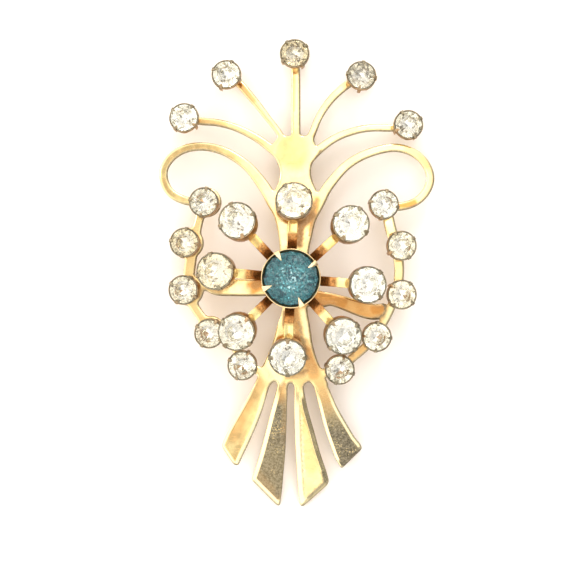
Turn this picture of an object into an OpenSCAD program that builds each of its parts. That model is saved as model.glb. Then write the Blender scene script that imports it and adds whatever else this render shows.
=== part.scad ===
// Spray brooch with a rhinestone flower, lying on its back.
// The sheet-metal spray is domed. The flower of eight bent arms is riveted to its middle, and every
// stone sits in its own claw cup. +Z is the face, +Y is the head of the spray, and the floor is z = 0.

/* [Spray] */
// Length over the top setting and the tail
overall_l = 61.1; // [60:0.1:62]
// Width over the two scrolls
overall_w = 35.9; // [35:0.1:37]
// Distance of the flower's centre from the left scroll's outer edge
centre_from_left = 17.1; // [16.5:0.1:17.5]
// Distance of the flower's centre from the tail's tips
centre_from_foot = 29.8; // [29.5:0.1:30.5]
// Thickness of the spray's sheet
sheet_t = 0.8; // [0.6:0.1:1]
// Radius of the dome that the sheet is pressed to, at its underside
dome_r = 130; // [125:5:180]
// Height of the sheet's underside above the floor, under the flower
crown_z = 3.7; // [3.6:0.1:4.2]

/* [Flower] */
// Width of an arm
arm_w = 1.25; // [1:0.05:1.4]
// Thickness of an arm
arm_t = 0.5; // [0.4:0.05:0.6]
// Height that the arms climb from the hub
arm_rise = 2.3; // [2:0.1:2.6]
// Outward tilt of the arms' ends and of their settings, in degrees
arm_tilt = 10; // [6:1:12]
// Radius of the hub
hub_r = 3; // [2.5:0.1:3.2]

/* [Settings] */
// Diameter of a small stone
small_d = 3.5; // [3.4:0.1:3.6]
// Diameter of a medium stone
medium_d = 4.5; // [4.4:0.1:4.6]
// Diameter of the centre stone
large_d = 7; // [6.9:0.1:7.1]
// Wall of a small or medium cup at its rim
cup_wall = 0.2; // [0.15:0.01:0.25]
// Gap between the centre stone and its ring
ring_gap = 0.2; // [0.1:0.05:0.25]

/* [Pin] */
// Diameter of the pin
pin_d = 0.9; // [0.7:0.1:1]
// Height of the pin's axis above the floor
pin_z = 1; // [0.9:0.05:1.1]

/* [Hidden] */
fit_gap = 0.03;
blend = 0.1;
round_steps = 64;
dome_steps = 180;
ball_z = crown_z - dome_r;
top_r = dome_r + sheet_t;
centre_at = [centre_from_left - overall_w / 2, centre_from_foot - overall_l / 2, 0];

// Plan rows of the spray's spine, seen from the face: [y, left edge, right edge]
SPINE = [
    [18.6, -1.5, 2.6], [17.6, -2.3, 3.2], [16.4, -2.35, 3.2], [15.2, -1.8, 2.85], [14, -1.4, 2.6],
    [12.7, -1.55, 2.8], [11.3, -2.2, 3.4], [10, -2.8, 3.95], [8.4, -2.3, 3.55], [7, -1.9, 3.1],
    [5.4, -1.6, 2.75], [3.8, -1.45, 2.4], [0, -1.2, 2.1], [-4, -1.15, 2.15], [-6.1, -1.8, 2.5],
    [-8.6, -2.45, 2.85], [-10.8, -3.4, 3.5], [-12.2, -4.1, 4.2], [-13.9, -4.8, 4.95]];

// Plan rows of the tail's bars, from the root down: [y, left edge, right edge]
BARS = [
    [[-13, -4.4, -2.5], [-14.9, -5.35, -3.05], [-17.4, -6.75, -3.8], [-19.6, -8, -4.65],
     [-21.4, -8.9, -5.45]],
    [[-13, -1.6, -0.4], [-14.6, -1.9, -0.42], [-17, -2.55, -0.5], [-20, -3.3, -0.6],
     [-23, -4.1, -0.75], [-25.5, -4.9, -0.98]],
    [[-13, 0.44, 1.55], [-14.7, 0.44, 1.75], [-17, 0.44, 2.2], [-19.8, 0.5, 3], [-22.7, 0.62, 3.8],
     [-24.9, 0.75, 4.55]],
    [[-13, 2.75, 4.35], [-14.7, 3.15, 5.15], [-16.7, 3.68, 6], [-18.8, 4.2, 7.2], [-20.6, 4.75, 8.25]]];

// The bars' slanted ends, from the left edge round to the right edge: [x, y]
BAR_ENDS = [
    [[-9.05, -21.9], [-7.45, -24.3], [-6.85, -24.45], [-6.45, -23.5]],
    [[-5.2, -26.2], [-1.85, -29.6], [-1.5, -29.8], [-1.35, -29.4], [-1.1, -27]],
    [[0.95, -28], [1.25, -29.8], [1.6, -29.8], [4.8, -26.95], [5, -26.4]],
    [[5.75, -23.4], [6.6, -24.85], [9.35, -22.15], [9.15, -21.7]]];

// Round tops of the slots between the bars: [x, y, radius]
SLOT_TOPS = [[-2.12, -13.85, 0.46], [0.02, -14, 0.42], [2.33, -13.9, 0.45]];

// Centreline rows of the stems, left to right: [x, y, width]
STEMS = [
    [[-1.4, 15.9, 1.1], [-2.4, 16.75, 1.1], [-4.3, 18.2, 1], [-7, 19.6, 0.95], [-9.5, 20.3, 0.95],
     [-11.7, 20.5, 1], [-13.85, 20.9, 1]],
    [[-1.1, 18, 0.9], [-1.6, 19.1, 0.8], [-3, 20.9, 0.85], [-4.3, 22.6, 0.95], [-5.6, 24.15, 1.05],
     [-6.7, 25.4, 1.05], [-8.4, 26.5, 1]],
    [[0.65, 17.5, 1.2], [0.65, 22, 1.2], [0.65, 26.5, 1.15], [0.5, 29.2, 1.1]],
    [[2.4, 18, 1], [2.85, 19, 0.95], [3.7, 21.1, 0.95], [5.1, 23.2, 1], [6.6, 24.7, 1.05],
     [7.7, 25.5, 1.05], [9.2, 26.35, 1]],
    [[2.4, 15.4, 1.1], [3.8, 16.9, 1.1], [6.1, 18.45, 1], [8.7, 19.35, 0.95], [10.9, 19.65, 0.95],
     [13.1, 19.65, 1], [15.3, 19.95, 1]]];

// Centreline rows of the scrolls, each running on down its side chain to the tail: [x, y, width]
SCROLLS = [
    [[-1.35, 8.1, 1.4], [-2.4, 9.9, 1.5], [-3.2, 11.5, 1.55], [-4.5, 13.3, 1.4], [-5.8, 14.75, 1.25],
     [-8.3, 16.4, 1.15], [-10.8, 17.15, 1.1], [-13.3, 17.05, 1.1], [-15.3, 16.05, 1.1],
     [-16.5, 14.4, 1.1], [-16.5, 12.7, 1.1], [-15.6, 11.1, 1.1], [-13.8, 10.15, 1.1],
     [-12, 9.95, 1.1]],
    [[2.75, 8, 1.3], [3.7, 9.8, 1.4], [4.35, 11.2, 1.4], [5.4, 12.7, 1.3], [7.3, 14.75, 1.2],
     [9.8, 16.2, 1.15], [13.1, 17.05, 1.1], [15.6, 16.6, 1.1], [17.4, 15.2, 1.1], [18.2, 13.2, 1.1],
     [17.65, 11.35, 1.1], [16.2, 9.95, 1.1], [14.2, 9.35, 1.1], [12.8, 9.5, 1.1]]];
CHAINS = [
    [[-11.3, 9.9, 1.05], [-11.75, 8.3, 1.15], [-12.15, 6.7, 1.2], [-12.6, 4.6, 1.3], [-13.15, 1.5, 1.55],
     [-13.3, -0.8, 1.4], [-12.85, -3.1, 1.25], [-11.5, -5.2, 1.2], [-10.1, -7, 1.15],
     [-7.4, -8.8, 1.1], [-6.1, -11.1, 1.1], [-3.9, -12.1, 1.1]],
    [[12.1, 9.6, 1.2], [12.6, 8.3, 1.4], [12.95, 6.6, 1.5], [13.6, 4.4, 1.4], [14.05, 2.1, 1.3],
     [14.05, 0, 1.3], [13.65, -2.1, 1.2], [12.6, -4.7, 1.15], [11.3, -6.9, 1.15], [9.8, -8.8, 1.15],
     [7.95, -10.4, 1.15], [6.4, -11.8, 1.1], [4.2, -12.3, 1.1]]];

// Centreline rows of the two braces from the spine to the side chains: [x, y, width]
BRACES = [
    [[0, -0.9, 2.1], [-3.75, -1.15, 2.3], [-7.6, -1.2, 2.2], [-9.7, -1.3, 1.8], [-11.4, -0.95, 1],
     [-13.1, -1.2, 1]],
    [[1, -2.2, 2.3], [3.8, -2.7, 2.2], [5.2, -2.7, 1.7], [6.9, -3.2, 1.8], [8.6, -3.8, 2],
     [10.3, -4.3, 2.1], [11.5, -4.3, 2], [12.6, -3.9, 1.6]]];

// Wide seats under the cups of the left side chain, which show beside them: [x, y, radius]
SEATS = [[-10.95, 9.9, 1.95], [-13.3, 4.6, 2], [-13.3, -1.55, 2], [-10.4, -6.8, 1.95]];

// Small stones on the stems' tips and down each side, top to bottom: [x, y, turn of the claws]
TIPS = [[-13.9, 20.9, 20], [-8.4, 26.55, 50], [0.5, 29.3, 35], [9.2, 26.4, 10], [15.3, 20, 65]];
LEFT = [[-11.3, 9.9, 30], [-13.8, 4.65, 10], [-13.95, -1.5, 55], [-10.6, -7.15, 25], [-6.3, -11.3, 5]];
RIGHT = [[12.1, 9.6, 40], [14.4, 4.25, 15], [14.4, -2.1, 60], [11.15, -7.6, 30], [6.35, -11.85, 45]];

// The flower's arms, clockwise from the top: [angle, radius to the stone, turn of the claws]
ARMS = [
    [87.7, 10, 30], [42.2, 10.45, 60], [-4.8, 9.95, 45], [-47.7, 10.05, 40],
    [-92.3, 10.2, 0], [-135.3, 9.85, 50], [174.6, 9.8, 15], [133, 10.15, 20]];
RING_CLAWS = [31.7, 118.5, 201, 291.6];

// Proportions of a stone, as parts of its diameter
table_part = 0.52;
crown_part = 0.15;
pavilion_part = 0.32;
girdle_t = 0.14;
seat_floor = 0.3;
cup_lip = 0.12;
claw_t = 0.22;
claw_stand = 0.1;

// Height of a stone's girdle above the base of its cup
function girdle_z(d) = seat_floor + 2 * fit_gap + pavilion_part * d;
// Radius of a cup at its rim
function rim_r(d, gap, wall) = d / 2 + gap + wall;
// Plan radius of an arm's pad for a stone that stands out at the given radius
function pad_r(reach) = reach - girdle_z(medium_d) * sin(arm_tilt);
hub_z = crown_z + sheet_t + fit_gap;
hub_top = hub_z + arm_t;
bend_r = 5.5;
function arm_mid_z(r) = hub_z + arm_t / 2 + arm_rise - (r - bend_r) * tan(arm_tilt);

rivet_r = 0.8;
pad_disc_r = 1.15;
hinge_at = [0.45, 16.5];
catch_at = [0.45, -12.2];
pin_end_y = -13.4;

// Smooth curve through rows of any width, with n steps from row to row
function blend_rows(a, b, c, d, t) =
    (2 * b + (c - a) * t + (2 * a - 5 * b + 4 * c - d) * t * t + (3 * b - a - 3 * c + d) * t * t * t) / 2;
function smooth(rows, n = 4) = let (last = len(rows) - 1) [
    for (i = [0:last - 1]) for (k = [0:n - 1])
        blend_rows(rows[max(i - 1, 0)], rows[i], rows[i + 1], rows[min(i + 2, last)], k / n),
    rows[last]];

// Point beside row i of a centreline, half a width to the given side
function beside(path, i, side) =
    let (
        ahead = path[min(i + 1, len(path) - 1)] - path[max(i - 1, 0)],
        length = norm([ahead[0], ahead[1]]))
    [path[i][0] - side * ahead[1] / length * path[i][2] / 2,
     path[i][1] + side * ahead[0] / length * path[i][2] / 2];

// A strip of varying width along a centreline
module strip(rows, n = 4) {
    path = smooth(rows, n);
    last = len(path) - 1;
    polygon(concat(
        [for (i = [0:last]) beside(path, i, 1)],
        [for (i = [last:-1:0]) beside(path, i, -1)]));
}

// A leaf between a left and a right edge, closed by the points of its end
module leaf(rows, end = []) {
    path = smooth(rows, 3);
    last = len(path) - 1;
    polygon(concat(
        [for (row = path) [row[1], row[0]]], end, [for (i = [last:-1:0]) [path[i][2], path[i][0]]]));
}

module ball(r) {
    translate([0, 0, ball_z]) rotate([90, 0, 0]) sphere(r = r, $fn = dome_steps);
}

// Stands a cup on the dome so that its stone, h above the sheet, shows at [x, y] in plan
module on_dome(x, y, h) {
    lean = asin(norm([x, y]) / (top_r + h));
    translate([0, 0, ball_z]) rotate([0, lean, atan2(y, x)])
        translate([0, 0, top_r + fit_gap]) children();
}

module on_arm(arm) {
    r = pad_r(arm[1]);
    lift = arm_t / 2 + fit_gap;
    rotate([0, 0, arm[0]]) translate([r, 0, arm_mid_z(r)]) rotate([0, arm_tilt, 0])
        translate([0, 0, lift]) children();
}

// The sheet's outline, with the finest notches between its strips closed
module spray_plan() {
    offset(delta = -blend) offset(delta = blend) {
        difference() {
            leaf(SPINE);
            for (top = SLOT_TOPS) translate([top[0], top[1]]) circle(r = top[2], $fn = 24);
        }
        for (i = [0:3]) leaf(BARS[i], BAR_ENDS[i]);
        for (rows = concat(STEMS, SCROLLS, CHAINS, BRACES)) strip(rows);
        for (spot = concat(TIPS, LEFT, RIGHT))
            translate([spot[0], spot[1]]) circle(r = pad_disc_r, $fn = 24);
        for (seat = SEATS) translate([seat[0], seat[1]]) circle(r = seat[2], $fn = 48);
    }
}

module spray_frame() {
    color("goldenrod") difference() {
        intersection() {
            linear_extrude(height = crown_z + 2 * sheet_t) spray_plan();
            ball(top_r);
        }
        ball(dome_r);
        cylinder(r = rivet_r + fit_gap, h = 3 * crown_z, $fn = round_steps);
    }
}

module flower_arms() {
    color("gold") difference() {
        union() {
            translate([0, 0, hub_z]) cylinder(r = hub_r, h = arm_t, $fn = round_steps);
            for (arm = ARMS) flower_arm(arm);
        }
        cylinder(r = rivet_r + fit_gap, h = 3 * crown_z, $fn = round_steps);
    }
}

// One bent arm with its round pad
module flower_arm(arm) {
    mid = hub_z + arm_t / 2;
    end = pad_r(arm[1]);
    rows = [
        [1.5, mid, arm_t], [3.3, mid + 0.05, arm_t], [4.3, mid + 0.45 * arm_rise, arm_t],
        [5.2, mid + 0.93 * arm_rise, arm_t], [6.2, arm_mid_z(6.2), arm_t], [end, arm_mid_z(end), arm_t]];
    rotate([0, 0, arm[0]]) {
        rotate([90, 0, 0]) linear_extrude(height = arm_w, center = true) strip(rows, 3);
        translate([end, 0, arm_mid_z(end)]) rotate([0, arm_tilt, 0])
            translate([0, 0, -arm_t / 2]) cylinder(r = 1.5, h = arm_t, $fn = round_steps);
    }
}

// A cup with a conical seat, its base at z = 0
module cup(d, gap, wall) {
    g = girdle_z(d);
    outer = rim_r(d, gap, wall);
    rotate_extrude($fn = round_steps) polygon([
        [0, 0], [0.72 * outer, 0], [outer, 0.75 * g], [outer, g + cup_lip], [outer - wall, g + cup_lip],
        [outer - wall, g - 2 * fit_gap], [0.4, seat_floor], [0, seat_floor]]);
}

// A claw that rises from the wall and bends over the stone's edge
module claw(d, gap, wall, w) {
    g = girdle_z(d) + girdle_t;
    outer = rim_r(d, gap, wall);
    inner = outer - wall + 0.04;
    slope = crown_part / (0.5 - table_part / 2);
    reach = 0.13 * d;
    tip = d / 2 - reach;
    rotate([90, 0, 0]) linear_extrude(height = w, center = true) polygon([
        [0.75 * outer, 0.45 * g], [outer + claw_stand, 0.45 * g], [outer + claw_stand, g + 0.1],
        [tip, g + reach * slope + 0.05 + claw_t], [tip - 0.04, g + reach * slope + 0.08],
        [inner, g + 0.04], [inner, 0.7 * g]]);
}

module setting(d, turn, count = 4, w = 0.5) {
    color("darkgoldenrod") {
        cup(d, fit_gap, cup_wall);
        for (i = [0:count - 1]) rotate([0, 0, turn + i * 360 / count]) claw(d, fit_gap, cup_wall, w);
    }
}

// A cut stone: table, girdle and a pointed back, with the girdle at its height in the cup
module stone(d, tint) {
    g = girdle_z(d);
    color(tint) hull() {
        translate([0, 0, g + girdle_t]) cylinder(r = table_part * d / 2, h = crown_part * d, $fn = 8);
        translate([0, 0, g]) rotate([0, 0, 11.25]) cylinder(r = d / 2, h = girdle_t, $fn = 16);
        translate([0, 0, g - pavilion_part * d + 0.05]) cylinder(r = 0.15, h = 0.1, $fn = 8);
    }
}

module centre_setting() {
    head_z = crown_z - fit_gap - 0.3;
    color("gold") {
        translate([0, 0, hub_top + fit_gap]) {
            cup(large_d, ring_gap, cup_wall);
            for (turn = RING_CLAWS) rotate([0, 0, turn]) claw(large_d, ring_gap, cup_wall, 0.75);
        }
        translate([0, 0, head_z]) cylinder(r = rivet_r, h = hub_top - head_z + 0.2, $fn = round_steps);
        translate([0, 0, head_z]) cylinder(r = 1.5, h = 0.3, $fn = round_steps);
    }
}

module centre_stone() {
    translate([0, 0, hub_top + fit_gap]) stone(large_d, "teal");
}

// Hinge, pin and catch of the closed pin, in one piece under the spine
module pin_back() {
    color("silver") {
        pin_hinge();
        pin_catch();
        translate([hinge_at[0], hinge_at[1], pin_z]) rotate([90, 0, 0])
            cylinder(r = pin_d / 2, h = hinge_at[1] - pin_end_y - 1.6, $fn = 32);
        translate([hinge_at[0], pin_end_y + 1.6, pin_z]) rotate([90, 0, 0])
            cylinder(r1 = pin_d / 2, r2 = 0.1, h = 1.6, $fn = 32);
    }
}

module pin_hinge() {
    ear_t = 0.6;
    half_w = 2.2;
    intersection() {
        translate([hinge_at[0] - half_w, hinge_at[1] - 1.7, 2 * pin_z]) cube([2 * half_w, 3.4, 3]);
        ball(dome_r - fit_gap);
    }
    for (side = [-1, 1])
        translate([hinge_at[0] + side * (half_w - ear_t / 2) - ear_t / 2, hinge_at[1] - 1.2, 0])
            cube([ear_t, 2.4, 2 * pin_z + 0.1]);
    translate([hinge_at[0], hinge_at[1], pin_z]) rotate([0, 90, 0])
        cylinder(r = 0.85, h = 2 * half_w - ear_t, center = true, $fn = 32);
}

module pin_catch() {
    foot_t = pin_z - pin_d / 2 + 0.05;
    half_w = 1.7;
    wall = 0.5;
    intersection() {
        translate([catch_at[0], catch_at[1] + 1.1, 0]) rotate([90, 0, 0]) linear_extrude(height = 2.2)
            polygon([
                [-half_w, 0], [half_w, 0], [half_w, 4], [-half_w, 4], [-half_w, 2.1],
                [half_w - wall, 2.1], [half_w - wall, foot_t], [wall - half_w, foot_t],
                [wall - half_w, 1.3], [-half_w, 1.3]]);
        ball(dome_r - fit_gap);
    }
}

module arm_setting(i) on_arm(ARMS[i]) setting(medium_d, ARMS[i][2] - ARMS[i][0], 4, 0.6);
module arm_stone(i) on_arm(ARMS[i]) stone(medium_d, "white");
module small_setting(spot) on_dome(spot[0], spot[1], girdle_z(small_d)) setting(small_d, spot[2]);
module small_stone(spot) on_dome(spot[0], spot[1], girdle_z(small_d)) stone(small_d, "white");

translate(centre_at) {
    spray_frame();
    flower_arms();
    centre_setting();
    centre_stone();
    pin_back();
    for (i = [0:7]) {
        arm_setting(i);
        arm_stone(i);
    }
    for (i = [0:4]) {
        small_setting(TIPS[i]);
        small_stone(TIPS[i]);
        small_setting(LEFT[i]);
        small_stone(LEFT[i]);
        small_setting(RIGHT[i]);
        small_stone(RIGHT[i]);
    }
}
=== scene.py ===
"""Spray brooch with a rhinestone flower, lying on its back on a pale table.

Everything is modelled in millimetres in the plan's own frame, whose origin is under the centre stone,
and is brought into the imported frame, in metres, when a piece is done.
"""

from __future__ import annotations

import logging
import math
from contextlib import contextmanager
from dataclasses import dataclass, field
from enum import Enum
from typing import Callable, Iterator, Sequence

import bmesh
import bpy
import numpy as np
from mathutils import Matrix, Vector
from mathutils.geometry import delaunay_2d_cdt
from mathutils.kdtree import KDTree

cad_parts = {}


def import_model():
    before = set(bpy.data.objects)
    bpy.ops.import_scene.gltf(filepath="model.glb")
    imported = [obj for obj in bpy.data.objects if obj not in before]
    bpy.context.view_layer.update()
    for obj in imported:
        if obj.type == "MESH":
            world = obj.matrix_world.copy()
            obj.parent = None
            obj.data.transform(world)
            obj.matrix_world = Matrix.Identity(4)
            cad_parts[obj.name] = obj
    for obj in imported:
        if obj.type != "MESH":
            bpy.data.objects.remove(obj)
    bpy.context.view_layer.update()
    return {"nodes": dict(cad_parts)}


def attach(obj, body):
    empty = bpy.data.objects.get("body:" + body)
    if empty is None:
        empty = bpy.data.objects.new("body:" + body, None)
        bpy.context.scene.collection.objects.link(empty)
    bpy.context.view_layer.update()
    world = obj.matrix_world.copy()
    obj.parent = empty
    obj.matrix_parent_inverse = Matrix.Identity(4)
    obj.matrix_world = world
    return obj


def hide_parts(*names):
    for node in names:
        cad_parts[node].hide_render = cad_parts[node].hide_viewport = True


LOG = logging.getLogger("brooch")
MM = 0.001
BODY = "root"
# A stone's girdle is this far above its cup's foot, plus this share of the stone's size.
GIRDLE_BASE = 0.36
GIRDLE_SHARE = 0.32
# Two points, or two heights, that are closer than this are taken for one.
SAME_POINT = 0.0005
SAME_LEVEL = 0.0001
Colour = tuple[float, float, float]
Tree = bpy.types.NodeTree
Socket = bpy.types.NodeSocket
Piece = bpy.types.Object


class Slot(Enum):
    """Names of material slots, which the pieces are handed but nothing uses."""

    SHEET = "gilt_sheet"
    FLOWER = "gilt_flower"
    CUP = "cup_metal"
    CLEAR = "clear_glass"
    TEAL = "teal_glass"
    PIN = "pin_metal"


class Claw(Enum):
    """Shapes of a claw's end."""

    TAB = "tab"
    POINT = "point"


class Part(Enum):
    """Parts of a mesh that can be selected."""

    FACE = "FACE"
    EDGE = "EDGE"


def smoothstep(value: np.ndarray, low: float, high: float) -> np.ndarray:
    """Rises smoothly from 0 at low to 1 at high."""
    share = np.clip((value - low) / (high - low), 0.0, 1.0)
    return share * share * (3.0 - 2.0 * share)


def girdle_height(size: float) -> float:
    """Height of a stone's girdle above its cup's foot."""
    return GIRDLE_BASE + GIRDLE_SHARE * size


@dataclass(frozen=True)
class Dome:
    """The ball that the sheet is pressed over, in millimetres."""

    crown: float = 3.7
    radius: float = 130.0
    sheet: float = 0.8
    gap: float = 0.03
    centre: tuple[float, float] = (-0.85, -0.75)

    @property
    def ball_z(self) -> float:
        """Height of the ball's centre."""
        return self.crown - self.radius

    @property
    def top_radius(self) -> float:
        """Radius of the sheet's face."""
        return self.radius + self.sheet

    def face(self, u: np.ndarray, v: np.ndarray) -> np.ndarray:
        """Height of the sheet's face over points of the plan."""
        return self.ball_z + np.sqrt(self.top_radius**2 - u * u - v * v)

    def back(self, u: np.ndarray, v: np.ndarray) -> np.ndarray:
        """Height of the sheet's back over points of the plan."""
        return self.ball_z + np.sqrt(self.radius**2 - u * u - v * v)

    def stand(self, u: float, v: float, height: float) -> Matrix:
        """Place of a cup that stands square on the dome.

        Args:
            u: plan position of the stone, across.
            v: plan position of the stone, along.
            height: height of the stone's girdle in its cup.

        Returns:
            The matrix from the cup's own frame to the plan's.
        """
        lean = math.asin(math.hypot(u, v) / (self.top_radius + height))
        return (
            Matrix.Translation((0, 0, self.ball_z))
            @ Matrix.Rotation(math.atan2(v, u), 4, "Z")
            @ Matrix.Rotation(lean, 4, "Y")
            @ Matrix.Translation((0, 0, self.top_radius + self.gap))
        )


DOME = Dome()


class Bench:
    """The hand operations that the pieces are made with."""

    @staticmethod
    def clear() -> None:
        """Deselects every object."""
        bpy.ops.object.select_all(action="DESELECT")

    @staticmethod
    def pick(piece: Piece) -> None:
        """Makes a piece the only one selected, and the active one.

        Args:
            piece: the piece.
        """
        Bench.clear()
        piece.select_set(True)
        bpy.context.view_layer.objects.active = piece

    @staticmethod
    @contextmanager
    def edit(piece: Piece) -> Iterator[None]:
        """Holds a piece in edit mode with nothing selected.

        Args:
            piece: the piece.

        Returns:
            A context in which the piece is edited.
        """
        Bench.pick(piece)
        bpy.ops.object.mode_set(mode="EDIT")
        bpy.ops.mesh.select_mode(type="FACE")
        bpy.ops.mesh.select_all(action="DESELECT")
        try:
            yield
        finally:
            bpy.ops.object.mode_set(mode="OBJECT")

    @staticmethod
    def choose(piece: Piece, part: Part, test: Callable[..., bool]) -> None:
        """Selects the faces or edges that pass a test, and nothing else.

        Args:
            piece: a piece in edit mode.
            part: whether faces or edges are tested.
            test: says whether a face or an edge is wanted.
        """
        bpy.ops.mesh.select_mode(type=part.value)
        bpy.ops.mesh.select_all(action="DESELECT")
        mesh = bmesh.from_edit_mesh(piece.data)
        mesh.normal_update()
        for item in mesh.faces if part is Part.FACE else mesh.edges:
            if test(item):
                item.select_set(True)
        bmesh.update_edit_mesh(piece.data)

    @staticmethod
    def modify(piece: Piece, kind: str, **settings: object) -> None:
        """Adds a modifier to a piece and applies it.

        Args:
            piece: the piece.
            kind: the modifier's type.
            settings: the modifier's properties.
        """
        Bench.pick(piece)
        modifier = piece.modifiers.new(kind.lower(), kind)
        for name, value in settings.items():
            setattr(modifier, name, value)
        bpy.ops.object.modifier_apply(modifier=modifier.name)

    @staticmethod
    def cylinder(sides: int, radius: float, height: float, middle: float = 0.0) -> Piece:
        """Adds an upright cylinder, whose middle is at a given height, and returns it.

        Args:
            sides: the number of its sides.
            radius: its radius.
            height: its height.
            middle: height of its middle.

        Returns:
            The cylinder.
        """
        Bench.clear()
        bpy.ops.mesh.primitive_cylinder_add(
            vertices=sides, radius=radius, depth=height, location=(0, 0, middle)
        )
        made = bpy.context.object
        bpy.ops.object.transform_apply(location=True, rotation=True, scale=True)
        return made

    @staticmethod
    def extrude(offset: tuple[float, float, float]) -> None:
        """Extrudes the selected faces of the piece in edit mode."""
        bpy.ops.mesh.extrude_region_move(TRANSFORM_OT_translate={"value": offset})

    @staticmethod
    def bevel(piece: Piece, width: float, segments: int = 2, degrees: float = 60.0) -> Piece:
        """Rounds the edges of a piece that are sharper than an angle, and returns it.

        Args:
            piece: the piece.
            width: the bevel's width.
            segments: the number of its segments.
            degrees: the angle past which an edge is sharp.

        Returns:
            The piece.
        """
        angle = math.radians(degrees)
        Bench.modify(piece, "BEVEL", width=width, segments=segments, limit_method="ANGLE", angle_limit=angle)
        return piece

    @staticmethod
    def smooth(piece: Piece, degrees: float) -> None:
        """Shades a piece smooth, with a crease where faces meet more sharply than the angle."""
        Bench.pick(piece)
        bpy.ops.object.shade_smooth_by_angle(angle=math.radians(degrees))

    @staticmethod
    def outward(piece: Piece) -> None:
        """Merges a closed piece's doubles and turns its faces outward."""
        with Bench.edit(piece):
            bpy.ops.mesh.select_all(action="SELECT")
            bpy.ops.mesh.remove_doubles(threshold=SAME_POINT)
            bpy.ops.mesh.normals_make_consistent(inside=False)

    @staticmethod
    def join(pieces: Sequence[Piece]) -> Piece:
        """Joins pieces into the first one and returns it.

        Args:
            pieces: the pieces, the one that is kept first.

        Returns:
            The joined piece.
        """
        Bench.pick(pieces[0])
        for piece in pieces:
            piece.select_set(True)
        bpy.ops.object.join()
        return pieces[0]

    @staticmethod
    def mesh(name: str, points: Sequence[Sequence[float]], faces: Sequence[Sequence[int]]) -> Piece:
        """Makes a piece from points in millimetres and faces.

        Args:
            name: the piece's name.
            points: its points.
            faces: its faces, as numbers of points.

        Returns:
            The piece.
        """
        data = bpy.data.meshes.new(name)
        data.from_pydata([tuple(point) for point in points], [], [tuple(face) for face in faces])
        data.update()
        piece = bpy.data.objects.new(name, data)
        bpy.context.scene.collection.objects.link(piece)
        return piece

    @staticmethod
    def copy(piece: Piece, name: str, place: Matrix) -> Piece:
        """Copies a piece with its own mesh, and sets the copy in place in the mesh.

        Args:
            piece: the piece.
            name: the copy's name.
            place: the matrix that sets it in place.

        Returns:
            The copy.
        """
        twin = piece.copy()
        twin.data = piece.data.copy()
        twin.name = twin.data.name = name
        bpy.context.scene.collection.objects.link(twin)
        twin.data.transform(place)
        return twin

    @staticmethod
    def points(piece: Piece) -> np.ndarray:
        """Reads the places of a piece's vertices."""
        return np.array([vert.co for vert in piece.data.vertices])

    @staticmethod
    def paint(piece: Piece, name: str, values: Sequence[float] | float) -> None:
        """Stores one number per vertex as an attribute that the materials read.

        Args:
            piece: the piece.
            name: the attribute's name.
            values: a number for each vertex, or one for them all.
        """
        layer = piece.data.attributes.get(name) or piece.data.attributes.new(name, "FLOAT", "POINT")
        spread = np.broadcast_to(np.asarray(values, np.float32), len(piece.data.vertices))
        layer.data.foreach_set("value", np.ascontiguousarray(spread))

    @staticmethod
    def painted(piece: Piece, name: str) -> np.ndarray:
        """Reads an attribute's numbers.

        Args:
            piece: the piece.
            name: the attribute's name.

        Returns:
            A number for each vertex.
        """
        values = np.zeros(len(piece.data.vertices), np.float32)
        piece.data.attributes[name].data.foreach_get("value", values)
        return values

    @staticmethod
    def deliver(piece: Piece, name: str, slot: Slot, nodes: Sequence[str]) -> Piece:
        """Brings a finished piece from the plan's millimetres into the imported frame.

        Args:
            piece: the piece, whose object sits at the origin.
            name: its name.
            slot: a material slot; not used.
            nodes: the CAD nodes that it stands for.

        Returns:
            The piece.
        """
        place = Matrix.Translation((DOME.centre[0] * MM, DOME.centre[1] * MM, 0)) @ Matrix.Scale(MM, 4)
        piece.data.transform(place)
        piece.data.update()
        piece.name = piece.data.name = name
        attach(piece, BODY)
        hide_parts(*nodes)
        LOG.info("%s: %d faces", name, len(piece.data.polygons))
        return piece


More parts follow.
